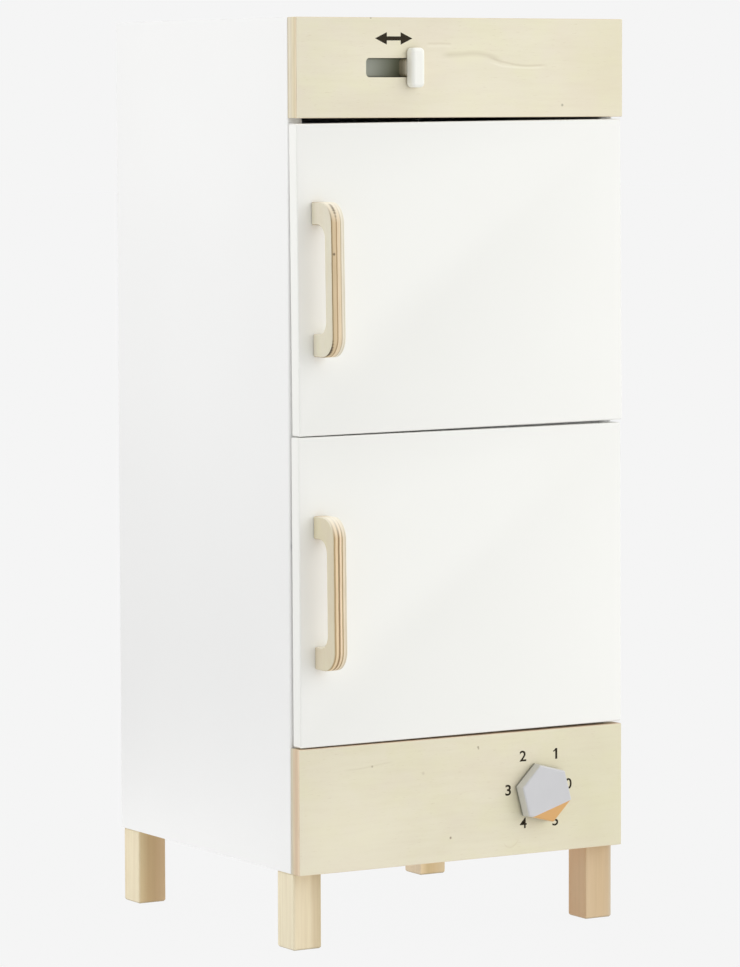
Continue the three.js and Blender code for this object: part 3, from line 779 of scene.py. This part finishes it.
arrow_height = 782.1 * MM
arrow_middle = board_low.x + 96.35 * MM
arrow_half_length = 18.4 * MM
arrow_head_length = 11.5 * MM
arrow_head_height = 10.6 * MM
arrow_shaft_height = 3.5 * MM
arrow_shaft_overlap = 1.1
arrow_tip_share = 0.02
ink_back = board_low.y
ink_front = board_low.y - ink_depth
shaft_half = Vector((arrow_half_length - arrow_head_length, 0, arrow_shaft_height / 2))
arrow = block(
    "printed_double_arrow",
    Vector((arrow_middle - shaft_half.x * arrow_shaft_overlap, ink_front, arrow_height - shaft_half.z)),
    Vector((arrow_middle + shaft_half.x * arrow_shaft_overlap, ink_back, arrow_height + shaft_half.z)),
)
for way in (-1, 1):
    head_middle = arrow_middle + way * (arrow_half_length - arrow_head_length / 2)
    head = block(
        "arrow_head",
        Vector((head_middle - arrow_head_length / 2, ink_front, arrow_height - arrow_head_height / 2)),
        Vector((head_middle + arrow_head_length / 2, ink_back, arrow_height + arrow_head_height / 2)),
    )
    for corner in head.data.vertices:
        if (corner.co.x - head_middle) * way > 0:
            corner.co.z = arrow_height + (corner.co.z - arrow_height) * arrow_tip_share
    apply_modifier(arrow, "BOOLEAN", operation="UNION", solver="EXACT", object=head)
    bpy.data.objects.remove(head)
hand_over(arrow, "cabinet", "plywood", print_ink)


def joined(pieces, name):
    """Several pieces as one."""
    bpy.ops.object.select_all(action="DESELECT")
    for piece in pieces:
        piece.select_set(True)
    bpy.context.view_layer.objects.active = pieces[0]
    bpy.ops.object.join()
    bpy.context.object.name = name
    return bpy.context.object


number_height = 9.2 * MM
number_share_of_font = 0.7
number_widening = 1.13
number_boldness = [0.02, 0.034, 0.024, 0.024, 0.014, 0.02]
number_ring_middle = Vector((board_low.x + 244.5 * MM, 0, 124.2 * MM))
flag_size = Vector((3.0 * MM, ink_depth, 1.15 * MM))
flag_drop = 1.9 * MM
flag_slope = math.radians(38)
number_places = [
    (30.5, 1.4), (17.7, 29.2), (-17.2, 29.4), (-32.6, 0.3), (-16.7, -30.1), (16.8, -30.2),
]
for number, (across, up) in enumerate(number_places):
    bpy.ops.object.select_all(action="DESELECT")
    bpy.ops.object.text_add(rotation=(math.pi / 2, 0, 0))
    digit = bpy.context.object
    digit.name = f"printed_{number}"
    digit.data.body = str(number)
    digit.data.size = number_height / number_share_of_font
    digit.data.offset = number_boldness[number] * number_height
    digit.data.extrude = ink_depth / 2
    digit.data.align_x = "CENTER"
    digit.data.align_y = "CENTER"
    digit.scale.x = number_widening
    digit.location = number_ring_middle + Vector((across * MM, ink_front + ink_depth / 2, up * MM))
    bpy.ops.object.convert(target="MESH")
    bpy.ops.object.transform_apply(location=True, rotation=True, scale=True)
    if number == 1:
        low, high = (Vector(corner) for corner in (digit.bound_box[0], digit.bound_box[6]))
        flag_middle = Vector((low.x - flag_size.x * 0.25, (low.y + high.y) / 2, high.z - flag_drop))
        flag = block("flag_of_1", flag_middle - flag_size / 2, flag_middle + flag_size / 2)
        select_only(flag)
        bpy.ops.transform.rotate(
            value=flag_slope, orient_axis="Y", orient_type="GLOBAL", center_override=flag_middle
        )
        digit = joined([digit, flag], digit.name)
    hand_over(digit, "cabinet", "plywood", print_ink)


# Slider
# A white lacquered bar glued and screwed to a plywood stem, which runs in the slot on a plate of grey
# painted hardboard.
knob_stand_off = Vector((0, 0.3 * MM, 0))
knob_wider_left = Vector((0.8 * MM, 0, 0))
stem_ease = 0.2 * MM
slider_screw_radius = 1.6 * MM

# The knob's front is rounded less than its corners, or the rounding would fold over itself.
knob_corner = 3.9 * MM
knob_front_ease = 3.3 * MM
knob_back_ease = 0.4 * MM

# Where the shade round the knob's back starts and is full, in millimetres in front of the back.
knob_rim = (1.3, 0.9)

knob_low, knob_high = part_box("slider_knob")
knob_high -= knob_stand_off
knob_low -= knob_wider_left
knob = block("finished_slider_knob", knob_low, knob_high)
round_edges_along(knob, 1, knob_corner, segments=8)
round_rim(knob, 1, knob_low.y, knob_front_ease, segments=6)
ease_edges(knob, knob_back_ease, segments=2)
drill_for_screw(knob, "slider_screw", slider_screw_radius, 1)
knob_white = white_lacquer("satin_white_lacquer_on_wood", "#F7F7F0", "#F3F3EB", 0.35)
knob_back = (knob_high.y - knob_low.y) / 2 / MM
knob_place = millimetres_of(knob_white, (knob_low + knob_high) / 2)
shade_towards(knob_white, knob_place, 1, *[knob_back - rim for rim in knob_rim], 0.8, "#8A846E")
hand_over(knob, "slider", "knob_paint", knob_white, "slider_knob")

stem = block("finished_slider_stem", stem_low - knob_stand_off, stem_high)
round_edges_along(stem, 1, slot_corner - slot_play, segments=6)
drill_for_screw(stem, "slider_screw", slider_screw_radius, 1)
ease_edges(stem, stem_ease, segments=2)
# The plies grow darker from the stem's front back into the slot: partly their own tones, partly painted
# shade that deepens into the slot.
stem_plies_and_shade = [
    (2.6, "#F8F6EE"), (0.5, "#C4BFAE"), (2.4, "#E6E3D6"), (0.6, "#A39D8A"), (3.0, "#CAC7B6"),
    (0.5, "#97927F"), (4.2, "#B9B5A4"),
]
stem_edge = ply_edge(
    "ply_edge_slider_stem", (stem_low + stem_high) / 2, 1, (1.2, 1.2, 20), stem_plies_and_shade, 3
)
hand_over(stem, "slider", "plywood", stem_edge, "slider_stem")

# The plate is painted darker towards the stem, as the shadow of the stem and knob, and along the
# slot's edges, as the shade there, in millimetres from the stem.
plate_stem_shadow = (-28, -2)
plate_slot_edge_shade = (6.4, 8)
plate = block("finished_slider_plate", *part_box("slider_plate"))
ease_edges(plate, board_ease)
drill_for_screw(plate, "slider_screw", slider_screw_radius, 1)
plate_grey, plate_shader = new_finish("grey_paint_on_hardboard", Roughness=0.6, IOR=coating_ior)
plate_shader.inputs["Base Color"].default_value = linear("#B8C0BA")
plate_place = millimetres_of(plate_grey, (stem_low.x, 0, (stem_low.z + stem_high.z) / 2))
# Painted shadow of the stem and knob, then painted shade along the slot's edges.
shade_towards(plate_grey, plate_place, 0, *plate_stem_shadow, 1, "#868C79")
for way in (-1, 1):
    shade_towards(plate_grey, plate_place, 2, *[way * edge for edge in plate_slot_edge_shade], 0.6, "#56553F")
hand_over(plate, "slider", "grey_paint", plate_grey, "slider_plate")


def refinish(node_name, finish):
    """Gives a CAD node that stays in view a finish of its own."""
    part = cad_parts[node_name]
    part.data.materials.clear()
    part.data.materials.append(finish)


rail_grain = (70, 30, 30)
rail_wood = veneer(
    "bare_plywood_rail", space_of("slider_screw")[2], rail_grain,
    veneer_tones["bottom_front_board"], 31,
)
for node_name in ("slider_lower_rail", "slider_upper_rail"):
    refinish(node_name, rail_wood)


# Dial
# A hexagonal wooden knob in light grey satin paint, with one corner painted orange past a straight
# line. It turns on a steel shaft that a washer and a nut hold behind the board.
dial_stand_off = Vector((0, 0.2 * MM, 0))
dial_low, dial_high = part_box("dial_knob")
dial_high -= dial_stand_off
dial_middle = (dial_low + dial_high) / 2
dial_radius = 26.5 * MM
dial_draft = 0.8 * MM
dial_ease = 0.6 * MM
dial_front_ease = 1.7 * MM
dial_turn = math.radians(15)
pointer_angle = math.radians(-72.7)

# In millimetres: the painted shade round the dial's back, the painted warm bounce from the board on
# its sides behind the front, the orange from its middle on, and the drift in its grey.
dial_back_shade = (2.5, 1.9)
dial_side_bounce = (0.8, 1.2)
orange_from = (14.2, 14.4)
dial_drift_width = 18

bpy.ops.object.select_all(action="DESELECT")
bpy.ops.mesh.primitive_cone_add(
    vertices=6, radius1=dial_radius + dial_draft, radius2=dial_radius,
    depth=dial_high.y - dial_low.y, location=dial_middle, rotation=(math.pi / 2, -dial_turn, 0),
)
dial = settle("finished_dial_knob")
round_rim(dial, 1, dial_low.y, dial_front_ease, segments=6)
ease_edges(dial, dial_ease)
drill_for_screw(dial, "dial_shaft", shaft_radius, 1)
dial_paint, dial_shader = new_finish("satin_paint_on_dial", Roughness=0.4, IOR=coating_ior)
dial_place = millimetres_of(dial_paint, dial_middle)
past_line = node(dial_paint, "VectorMath", {
    0: dial_place, 1: (math.cos(pointer_angle), 0, math.sin(pointer_angle)),
}, operation="DOT_PRODUCT").outputs["Value"]
dial_drift = node(
    dial_paint, "TexNoise", {"Vector": dial_place, "Scale": 1 / dial_drift_width, "Detail": 2}
)
grey_tone = node(dial_paint, "Mix", {
    mix_share: dial_drift.outputs["Fac"], mix_first: linear("#D0D0D2"), mix_second: linear("#CACACC"),
}, data_type="RGBA").outputs[mix_tone]
dial_tone = tinged(dial_paint, grey_tone, past_line, *orange_from, 1, linear("#DAA868"))
dial_paint.node_tree.links.new(dial_tone, dial_shader.inputs["Base Color"])
dial_back = (dial_high.y - dial_low.y) / 2 / MM
# Painted warm bounce from the plywood board on the dial's sides.
shade_towards(
    dial_paint, dial_place, 1, *[rim - dial_back for rim in dial_side_bounce], 0.5, "#D3D1C2"
)
# Painted shade on the sides next to the back, where the dial meets the board.
shade_towards(
    dial_paint, dial_place, 1, *[dial_back - rim for rim in dial_back_shade], 0.8, "#5F604E"
)
hand_over(dial, "dial", "dial_paint", dial_paint, "dial_knob")

for node_name in ("dial_shaft", "dial_washer", "dial_nut"):
    refinish(node_name, zinc_plated)


# Hinges
# Two nickel plated butt hinges a door, folded from steel strip round a pin with domed ends. Each leaf
# is let in flat and held by two countersunk screws with a cross recess.
leaf_thickness = 0.8 * MM
leaf_width = 14 * MM
leaf_play = 0.4 * MM
leaf_corner = 1.6 * MM
leaf_ease = 0.1 * MM
leaf_inner_edge = 2.8 * MM
knuckle_count = 5
knuckle_radius = 2.4 * MM
knuckle_play = 0.3 * MM
pin_radius = 1.25 * MM
pin_play = 0.15 * MM
leaf_screw_spacing = 22 * MM
leaf_screw_from_axis = 8.4 * MM
leaf_screw_radius = 1.1 * MM
leaf_screw_head_radius = 2.3 * MM
leaf_screw_length = 10 * MM
screw_tip_share = 0.12
screw_edge = 0.06 * MM
screw_seat_play = 0.08 * MM
screw_seat_headroom = 1 * MM

# A cross's half length and width as shares of its head's radius, and its depth as one of the head's.
flat_head_cross = (0.55, 0.3, 0.75)


def cross_recess(piece, centre, direction, head_radius, head_height, shares):
    """Sinks a cross for the screwdriver into a head that looks along one axis."""
    half_length, width, depth = (
        size * share for size, share in zip((head_radius, head_radius, head_height), shares)
    )
    facing = [abs(share) > squarely for share in direction]
    across = [axis for axis in range(3) if not facing[axis]]
    for long_axis in across:
        half = Vector([depth if facing[axis] else width / 2 for axis in range(3)])
        half[long_axis] = half_length
        cut_away(piece, block("cross_bit", centre - half, centre + half))


def countersunk_screw(name, face, direction, shaft_radius, head_radius, length):
    """A countersunk screw whose flat head lies in a face and looks along a direction."""
    head_depth = head_radius - shaft_radius
    tip_length = shaft_radius * 2
    profile = [
        (shaft_radius * screw_tip_share, -length), (shaft_radius * screw_tip_share, -length + hair),
        (shaft_radius, -length + tip_length), (shaft_radius, -head_depth),
        (head_radius, -screw_edge), (head_radius - screw_edge, 0),
    ]
    piece = turned(name, profile, face, direction)
    cross_recess(piece, face, direction, head_radius, head_depth, flat_head_cross)
    return piece


def screw_seat(face, direction, shaft_radius, head_radius, length):
    """The room that a countersunk screw needs, to be cut out of what it holds."""
    head_depth = head_radius - shaft_radius
    play = screw_seat_play
    profile = [
        (shaft_radius + play, -length - play), (shaft_radius + play, -head_depth - play),
        (head_radius + play, -play), (head_radius + play, screw_seat_headroom),
    ]
    return turned("screw_seat", profile, face, direction)


def copied(piece, name, step):
    """A second piece of the same shape, with a mesh of its own, one step away."""
    select_only(piece)
    bpy.ops.object.duplicate()
    bpy.context.object.location = step
    return settle(name)


hinge_names = [
    f"{compartment}_{place}" for compartment in compartments for place in ("upper", "lower")
]
first_low, first_high, first_middle = space_of(f"{hinge_names[0]}_cabinet_leaf")
hinge_axis = Vector((first_high.x - knuckle_radius, first_middle.y, first_middle.z))
hinge_height = first_high.z - first_low.z
pin_low, pin_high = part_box(f"{hinge_names[0]}_hinge_pin")
leaf_screw_measures = (leaf_screw_radius, leaf_screw_head_radius, leaf_screw_length)
first_hinge = {}
leaf_screw_faces = {}
for owner, side in (("cabinet", 1), ("door", -1)):
    near = hinge_axis.y + side * leaf_play / 2
    far = near + side * leaf_thickness
    front, rear = min(near, far), max(near, far)
    leaf = block(
        f"{owner}_leaf",
        Vector((hinge_axis.x - leaf_width, front, hinge_axis.z - hinge_height / 2)),
        Vector((hinge_axis.x - leaf_inner_edge, rear, hinge_axis.z + hinge_height / 2)),
    )
    round_edges_along(
        leaf, 1, leaf_corner, segments=6,
        beyond=lambda first: first.x < hinge_axis.x - leaf_inner_edge * 2,
    )
    for index in range(0 if owner == "cabinet" else 1, knuckle_count, 2):
        lower_play = knuckle_play / 2 if index > 0 else 0
        upper_play = knuckle_play / 2 if index < knuckle_count - 1 else 0
        bottom = hinge_axis.z + (index / knuckle_count - 0.5) * hinge_height + lower_play
        top = hinge_axis.z + ((index + 1) / knuckle_count - 0.5) * hinge_height - upper_play
        strap = block(
            "strap", Vector((hinge_axis.x - leaf_inner_edge - leaf_thickness, front, bottom)),
            Vector((hinge_axis.x, rear, top)),
        )
        knuckle = rod(
            "knuckle", knuckle_radius, Vector((hinge_axis.x, hinge_axis.y, bottom)),
            Vector((hinge_axis.x, hinge_axis.y, top)),
        )
        for part in (strap, knuckle):
            apply_modifier(leaf, "BOOLEAN", operation="UNION", solver="EXACT", object=part)
            bpy.data.objects.remove(part)
    cut_away(leaf, rod(
        "pin_bore", pin_radius + pin_play, hinge_axis - Vector((0, 0, hinge_height)),
        hinge_axis + Vector((0, 0, hinge_height)),
    ))
    ease_edges(leaf, leaf_ease, segments=2)
    facing = -backward * side
    leaf_screw_faces[owner] = []
    for place, along in (("lower", -0.5), ("upper", 0.5)):
        face = Vector((
            hinge_axis.x - leaf_screw_from_axis, near, hinge_axis.z + along * leaf_screw_spacing
        ))
        leaf_screw_faces[owner].append(face)
        cut_away(leaf, screw_seat(face, facing, *leaf_screw_measures))
        first_hinge[f"{owner}_leaf_screw_{place}"] = countersunk_screw(
            f"{owner}_leaf_screw_{place}", face, facing, *leaf_screw_measures
        )
    select_only(leaf)
    bpy.ops.object.shade_smooth_by_angle(angle=turned_smooth_angle)
    first_hinge[f"{owner}_leaf"] = leaf

head_radius = (pin_high.x - pin_low.x) / 2
head_height = (pin_high.z - pin_low.z - hinge_height) / 2
pin_dome_shares = [(0.45, 0), (0.8, 0.25), (1, 0.6), (1, 0.97)]
pin_dome = [(head_radius * across, head_height * up) for across, up in pin_dome_shares]
pin_dome.append((pin_radius, pin_dome[-1][1]))
pin_profile = [(pin_dome[0][0], 0), (pin_dome[0][0], hair), *pin_dome[1:]]
pin_profile += [(radius, pin_high.z - pin_low.z - height) for radius, height in reversed(pin_dome)]
first_hinge["hinge_pin"] = turned(
    "hinge_pin", pin_profile, Vector((hinge_axis.x, hinge_axis.y, pin_low.z)), Vector((0, 0, 1))
)

hinge_steps = {}
for hinge in hinge_names:
    hinge_steps[hinge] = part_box(f"{hinge}_cabinet_leaf")[0] - first_low
    for part_name, part in first_hinge.items():
        owner_body = "cabinet"
        if part_name.startswith("door"):
            owner_body = hinge.split("_")[0] + "_door_leaf"
        if "screw" in part_name:
            piece = copied(part, f"{hinge}_{part_name}", hinge_steps[hinge])
            hand_over(piece, owner_body, "nickel", nickel_plated)
        else:
            node_name = f"{hinge}_{part_name}"
            piece = copied(part, "finished_" + node_name, hinge_steps[hinge])
            finish_slot = "steel" if part_name == "hinge_pin" else "nickel"
            hand_over(piece, owner_body, finish_slot, nickel_plated, node_name)
for part in first_hinge.values():
    bpy.data.objects.remove(part)

cut_away(bpy.data.objects["finished_right_side_panel"], joined([
    screw_seat(face + step, -backward, *leaf_screw_measures)
    for step in hinge_steps.values() for face in leaf_screw_faces["cabinet"]
], "screw_seats"))


# Doors
# Two boards of the same lacquered fibreboard, laid over the front of the cabinet. Each hangs a
# little low at its handle, as the play in its hinges lets it, and the upper one was sawn to a
# slightly lower and wider size.
door_lean = {"freezer": -math.radians(0.36), "fridge": -math.radians(0.2)}
door_hang = {"freezer": -math.radians(0.12), "fridge": 0}
door_trim = {
    "freezer": (Vector((-0.5, 0, 0)) * MM, Vector((0, 0, -0.75)) * MM),
    "fridge": (Vector((0, 0, 0)), Vector((0, 0, 0))),
}
door_ease = 1.5 * MM
disc_ease = 0.3 * MM
disc_screw_radius = 1.2 * MM
disc_screw_head_radius = 2.1 * MM
disc_screw_length = 8 * MM
disc_screw_measures = (disc_screw_radius, disc_screw_head_radius, disc_screw_length)
handle_screw_radius = 2 * MM
# The doors' lacquer is a little warmer than the cabinet's, and a little lighter as painted light.
door_white = white_lacquer("satin_white_lacquer_on_doors", "#F6F6F2", "#F2F2ED", 0.4)


def upright_box(node_name, lean):
    """The corners that a leaning node has when it is turned upright about its middle."""
    low, high, middle = space_of(node_name)
    size = high - low
    across, up = abs(math.cos(lean)), abs(math.sin(lean))
    width = (size.x * across - size.z * up) / math.cos(2 * lean)
    height = (size.z * across - size.x * up) / math.cos(2 * lean)
    half = Vector((width, size.y, height)) / 2
    return middle - half, middle + half


def lean_over(piece, middle, lean):
    """Turns an upright piece to its lean, about its middle."""
    select_only(piece)
    bpy.context.scene.cursor.location = middle
    bpy.ops.object.origin_set(type="ORIGIN_CURSOR")
    piece.rotation_euler.y = lean
    bpy.ops.object.transform_apply(location=True, rotation=True, scale=True)


def drill_for_handle_screws(piece, compartment):
    """Drills both holes for the screws that hold a handle."""
    for place in ("upper", "lower"):
        drill_for_screw(piece, f"{compartment}_{place}_handle_screw", handle_screw_radius, 1)


for compartment, lean in door_lean.items():
    low, high = upright_box(f"{compartment}_door", lean)
    low_trim, high_trim = door_trim[compartment]
    door = block(f"finished_{compartment}_door", low + low_trim, high + high_trim)
    ease_edges(door, door_ease)
    lean_over(door, (low + high) / 2, lean + door_hang[compartment])
    drill_for_handle_screws(door, compartment)
    body = f"{compartment}_door_leaf"
    disc_low, disc_high, disc_middle = space_of(f"{compartment}_strike_disc")
    disc_radius, disc_thickness = (disc_high.z - disc_low.z) / 2, disc_high.y - disc_low.y
    profile = [
        (disc_radius, 0), (disc_radius, disc_thickness - disc_ease),
        (disc_radius - disc_ease, disc_thickness),
    ]
    disc_back = Vector((disc_middle.x, disc_low.y, disc_middle.z))
    disc_face = Vector((disc_middle.x, disc_high.y, disc_middle.z))
    disc = turned(f"finished_{compartment}_strike_disc", profile, disc_back, backward)
    cut_away(disc, screw_seat(disc_face, backward, *disc_screw_measures))
    cut_away(door, joined([
        screw_seat(disc_face, backward, *disc_screw_measures),
        *[
            screw_seat(face + step, backward, *leaf_screw_measures)
            for hinge, step in hinge_steps.items() if hinge.startswith(compartment)
            for face in leaf_screw_faces["door"]
        ],
    ], "screw_seats"))
    disc_screw = countersunk_screw(
        f"{compartment}_strike_disc_screw", disc_face, backward, *disc_screw_measures
    )
    hand_over(disc, body, "steel", zinc_plated, f"{compartment}_strike_disc")
    hand_over(disc_screw, body, "steel", zinc_plated)
    hand_over(door, body, "white_paint", door_white, f"{compartment}_door")


# Plywood handles
# C shapes sawn from plywood a little over 13 mm thick and sanded, so their sides are veneer and their
# fronts show the plies on edge. Each is screwed on from behind the door.
handle_outer_radius = 18 * MM
handle_inner_radius = 12 * MM
handle_grip_depth = 11.5 * MM
handle_foot_height = 19.3 * MM
handle_ease = 1.1 * MM
handle_side_grain = (20, 20, 60)
handle_edge_grain = (1.1, 22, 22)
handle_waver = 0.5
handle_seed = 20
handle_plies = {
    "freezer": [
        (0.2, "#D8CFB2"), (1.0, "#9E8A66"), (3.4, "#D6BF99"), (1.1, "#AE8F68"), (3.0, "#E8D4B3"),
        (1.0, "#CAB798"), (1.7, "#EDE5D2"), (0.7, "#D9D0B8"), (1.3, "#EAE3D4"),
    ],
    "fridge": [
        (0.6, "#D8CFB2"), (1.6, "#B3996F"), (2.4, "#ECD3AC"), (1.7, "#997C55"), (1.9, "#F2DBBA"),
        (1.2, "#B0966D"), (2.1, "#EADBC0"), (0.8, "#CDBFA6"), (1.1, "#EBE0CC"),
    ],
}
# Each handle's marks: across, depth, up, radius, strength and colour. Its two wide pale spots are
# painted highlights on the faces that look up to the ceiling light; the rest are knots and dark strokes
# along the plies.
handle_knots_and_highlights = {
    "freezer": [
        (0, 12, 72, 26, 0.9, "#F4EEDD"), (0, 24, -46, 20, 0.95, "#EAE4D2"),
        (-4.2, 0, 22.3, 1.7, 0.9, "#5F4B2E"),
        (-1.6, 1.2, 51, 1.5, 0.3, "#85724F"), (-1.6, 1.9, 54, 1.8, 0.5, "#75654A"),
        (-1.6, 3.0, 56.8, 1.9, 0.7, "#6E5D41"), (-1.6, 4.5, 59.0, 2.0, 0.8, "#5F5138"),
        (-1.6, 6.2, 60.8, 2.0, 0.8, "#5F5138"), (-1.6, 8.2, 62.4, 2.0, 0.7, "#6E5D41"),
        (-1.6, 10.4, 63.6, 1.9, 0.5, "#75654A"), (-5.9, 1.0, -51, 1.4, 0.4, "#5A4A31"),
        (-5.9, 1.7, -53.8, 1.7, 0.7, "#5A4A31"), (-5.9, 2.8, -56.6, 2.0, 0.8, "#473A26"),
        (-5.9, 4.2, -58.8, 2.2, 0.9, "#473A26"), (-5.9, 5.9, -60.6, 2.3, 0.9, "#473A26"),
        (-5.9, 7.9, -62.1, 2.2, 0.9, "#473A26"), (-5.9, 10.2, -63.5, 2.0, 0.7, "#5A4A31"),
    ],
    "fridge": [(0, 12, 72, 26, 0.9, "#F4EEDD"), (0, 24, -46, 20, 0.95, "#EAE4D2")],
}
handle_veneer_tones = {
    "freezer": ("#E0DAC6", "#DDD8BD", "#DDD3C0", "#C3B696"),
    "fridge": ("#DED5BB", "#DCD3B2", "#DACDB4", "#C3B696"),
}
handle_tilt = {"freezer": -math.radians(0.35), "fridge": -math.radians(0.3)}
for seed, (compartment, lean) in enumerate(door_lean.items(), handle_seed):
    low, high = upright_box(f"{compartment}_handle", lean)
    middle = (low + high) / 2
    handle = block(f"finished_{compartment}_handle", low, high)
    round_edges_along(
        handle, 0, handle_outer_radius, segments=20, beyond=lambda first: first.y < middle.y
    )
    gap = block(
        "finger_gap",
        Vector((low.x - overlong, low.y + handle_grip_depth, low.z + handle_foot_height)),
        Vector((high.x + overlong, high.y + overlong, high.z - handle_foot_height)),
    )
    round_edges_along(
        gap, 0, handle_inner_radius, segments=16, beyond=lambda first: first.y < middle.y
    )
    cut_away(handle, gap)
    ease_edges(handle, handle_ease)
    lean_over(handle, middle, lean + handle_tilt[compartment])
    drill_for_handle_screws(handle, compartment)
    side_veneer = veneer(
        f"varnished_veneer_{compartment}_handle", middle, handle_side_grain,
        handle_veneer_tones[compartment], seed, lean,
    )
    front_plies = ply_edge(
        f"ply_edge_{compartment}_handle", middle, 0, handle_edge_grain, handle_plies[compartment],
        seed, lean + handle_tilt[compartment], waver=handle_waver,
        knots_and_spots=[
            ((across, (low.y - middle.y) / MM + depth, up), radius, strength, colour)
            for across, depth, up, radius, strength, colour in handle_knots_and_highlights[compartment]
        ],
    )
    veneer_and_edge(handle, side_veneer, front_plies, 0)
    hand_over(handle, f"{compartment}_door_leaf", "plywood", None, f"{compartment}_handle")


# Cross head screws
# Zinc plated pan head screws, driven from behind: two through each door into its handle, one through
# the slider's plate and stem into its knob, and one down through the bottom panel into each leg.
pan_head_height_share = 0.62
pan_head_cross = (0.5, 0.26, 0.6)
least_head_width = 4 * MM

# The pan head's outline above its rim, as shares of its radius and of its height down from the top.
pan_head_dome = [(1, 0.55), (0.9, 0.22), (0.68, 0)]


def pan_head_screw(node_name, shaft_radius, axis, body):
    """A pan head with a cross recess on a pointed shaft, driven down one axis, for a CAD screw."""
    low, high, tip = space_of(node_name)
    top = tip.copy()
    tip[axis], top[axis] = low[axis], high[axis]
    length = (top - tip).length
    head_radius = min(side for side in high - low if side > least_head_width) / 2
    head_height = head_radius * pan_head_height_share
    profile = [
        (shaft_radius * screw_tip_share, 0), (shaft_radius * screw_tip_share, hair),
        (shaft_radius, shaft_radius * 2), (shaft_radius, length - head_height),
        (head_radius, length - head_height),
        *[(head_radius * across, length - head_height * down) for across, down in pan_head_dome],
    ]
    direction = (top - tip).normalized()
    piece = turned("finished_" + node_name, profile, tip, direction)
    cross_recess(piece, top, direction, head_radius, head_height, pan_head_cross)
    hand_over(piece, body, "steel", zinc_plated, node_name)


for compartment in compartments:
    for place in ("upper", "lower"):
        pan_head_screw(
            f"{compartment}_{place}_handle_screw", handle_screw_radius, 1,
            f"{compartment}_door_leaf",
        )
pan_head_screw("slider_screw", slider_screw_radius, 1, "slider")
for corner in leg_tones_and_shade:
    pan_head_screw(f"{corner}_leg_screw", leg_screw_radius, 2, "cabinet")


# Floor and light
# A pale paper sweep under an even white ceiling. The studio's walls are brightest ahead of the
# fridge to the right, and dark on the left of its front, where the camera stands. Two soft boxes on
# the left add to them.
background_white = "#F5F5F5"
paper_grey = "#202020"
floor_size = 60
floor_drop = 0.1 * MM
floor_glow = 0.983

# Each wall's place, as a share of the turn round the studio, and its light.
studio_walls = {
    "left": (0, 1.325),
    "front_left": (0.125, 0),
    "front": (0.25, 0.72),
    "front_right": (0.375, 2.685),
    "right": (0.5, 1.02),
    "rear_right": (0.625, 0.3),
    "rear": (0.75, 1.2),
    "rear_left": (0.875, 0.186),
}
ceiling_light = 1.35
ceiling_heights = (0.55, 0.85)

# Each soft box's place, what it looks at, its width and height, its watts and its spread in degrees.
soft_boxes = {
    "high_left_soft_box": (
        Vector((-0.935, 0.125, 0.889)), Vector((-0.17, -0.3, 0.615)), 0.5, 0.6, 1.87, 180
    ),
    "low_left_soft_box": (
        Vector((-0.42, 0.12, 0.01)), Vector((-0.17, 0, 0.03)), 0.5, 0.08, 0.055, 75
    ),
}

bpy.ops.object.select_all(action="DESELECT")
bpy.ops.mesh.primitive_plane_add(size=floor_size, location=(0, 0, -floor_drop))
floor = bpy.context.object
floor.name = "pale_floor"
floor_paper, _ = new_finish(
    "pale_paper", Roughness=0.9, Base_Color=linear(paper_grey), Specular_IOR_Level=0,
    Emission_Color=linear(background_white), Emission_Strength=floor_glow,
)
floor.data.materials.append(floor_paper)

world = bpy.data.worlds.new("studio")
bpy.context.scene.world = world
world.use_nodes = True
backdrop = world.node_tree.nodes["Background"]
backdrop.inputs["Color"].default_value = linear(background_white)
direction = node(world, "TexCoord").outputs["Generated"]
round_the_studio = node(world, "TexGradient", {"Vector": direction}, gradient_type="RADIAL")
walls = node(world, "ValToRGB", {"Fac": round_the_studio.outputs["Fac"]})
stops = walls.color_ramp.elements
for index, (turn, light) in enumerate([*studio_walls.values(), (1, studio_walls["left"][1])]):
    stop = stops[index] if index < 2 else stops.new(turn)
    stop.position = turn
    stop.color = (light, light, light, 1)
upward = node(world, "SeparateXYZ", {"Vector": direction}).outputs["Z"]
light_round = tinged(
    world, walls.outputs["Color"], upward, *ceiling_heights, 1, (ceiling_light,) * 3 + (1,)
)
shown = node(world, "Mix", {
    mix_share: node(world, "LightPath").outputs["Is Camera Ray"],
    mix_first: light_round, mix_second: (1, 1, 1, 1),
}, data_type="RGBA").outputs[mix_tone]
world.node_tree.links.new(shown, backdrop.inputs["Strength"])

for name, (place, aim, width, height, watts, spread) in soft_boxes.items():
    lamp = bpy.data.lights.new(name, "AREA")
    lamp.shape = "RECTANGLE"
    lamp.size = width
    lamp.size_y = height
    lamp.energy = watts
    lamp.spread = math.radians(spread)
    box = bpy.data.objects.new(name, lamp)
    box.location = place
    box.rotation_euler = (aim - place).to_track_quat("-Z", "Y").to_euler()
    box.visible_camera = False
    bpy.context.collection.objects.link(box)
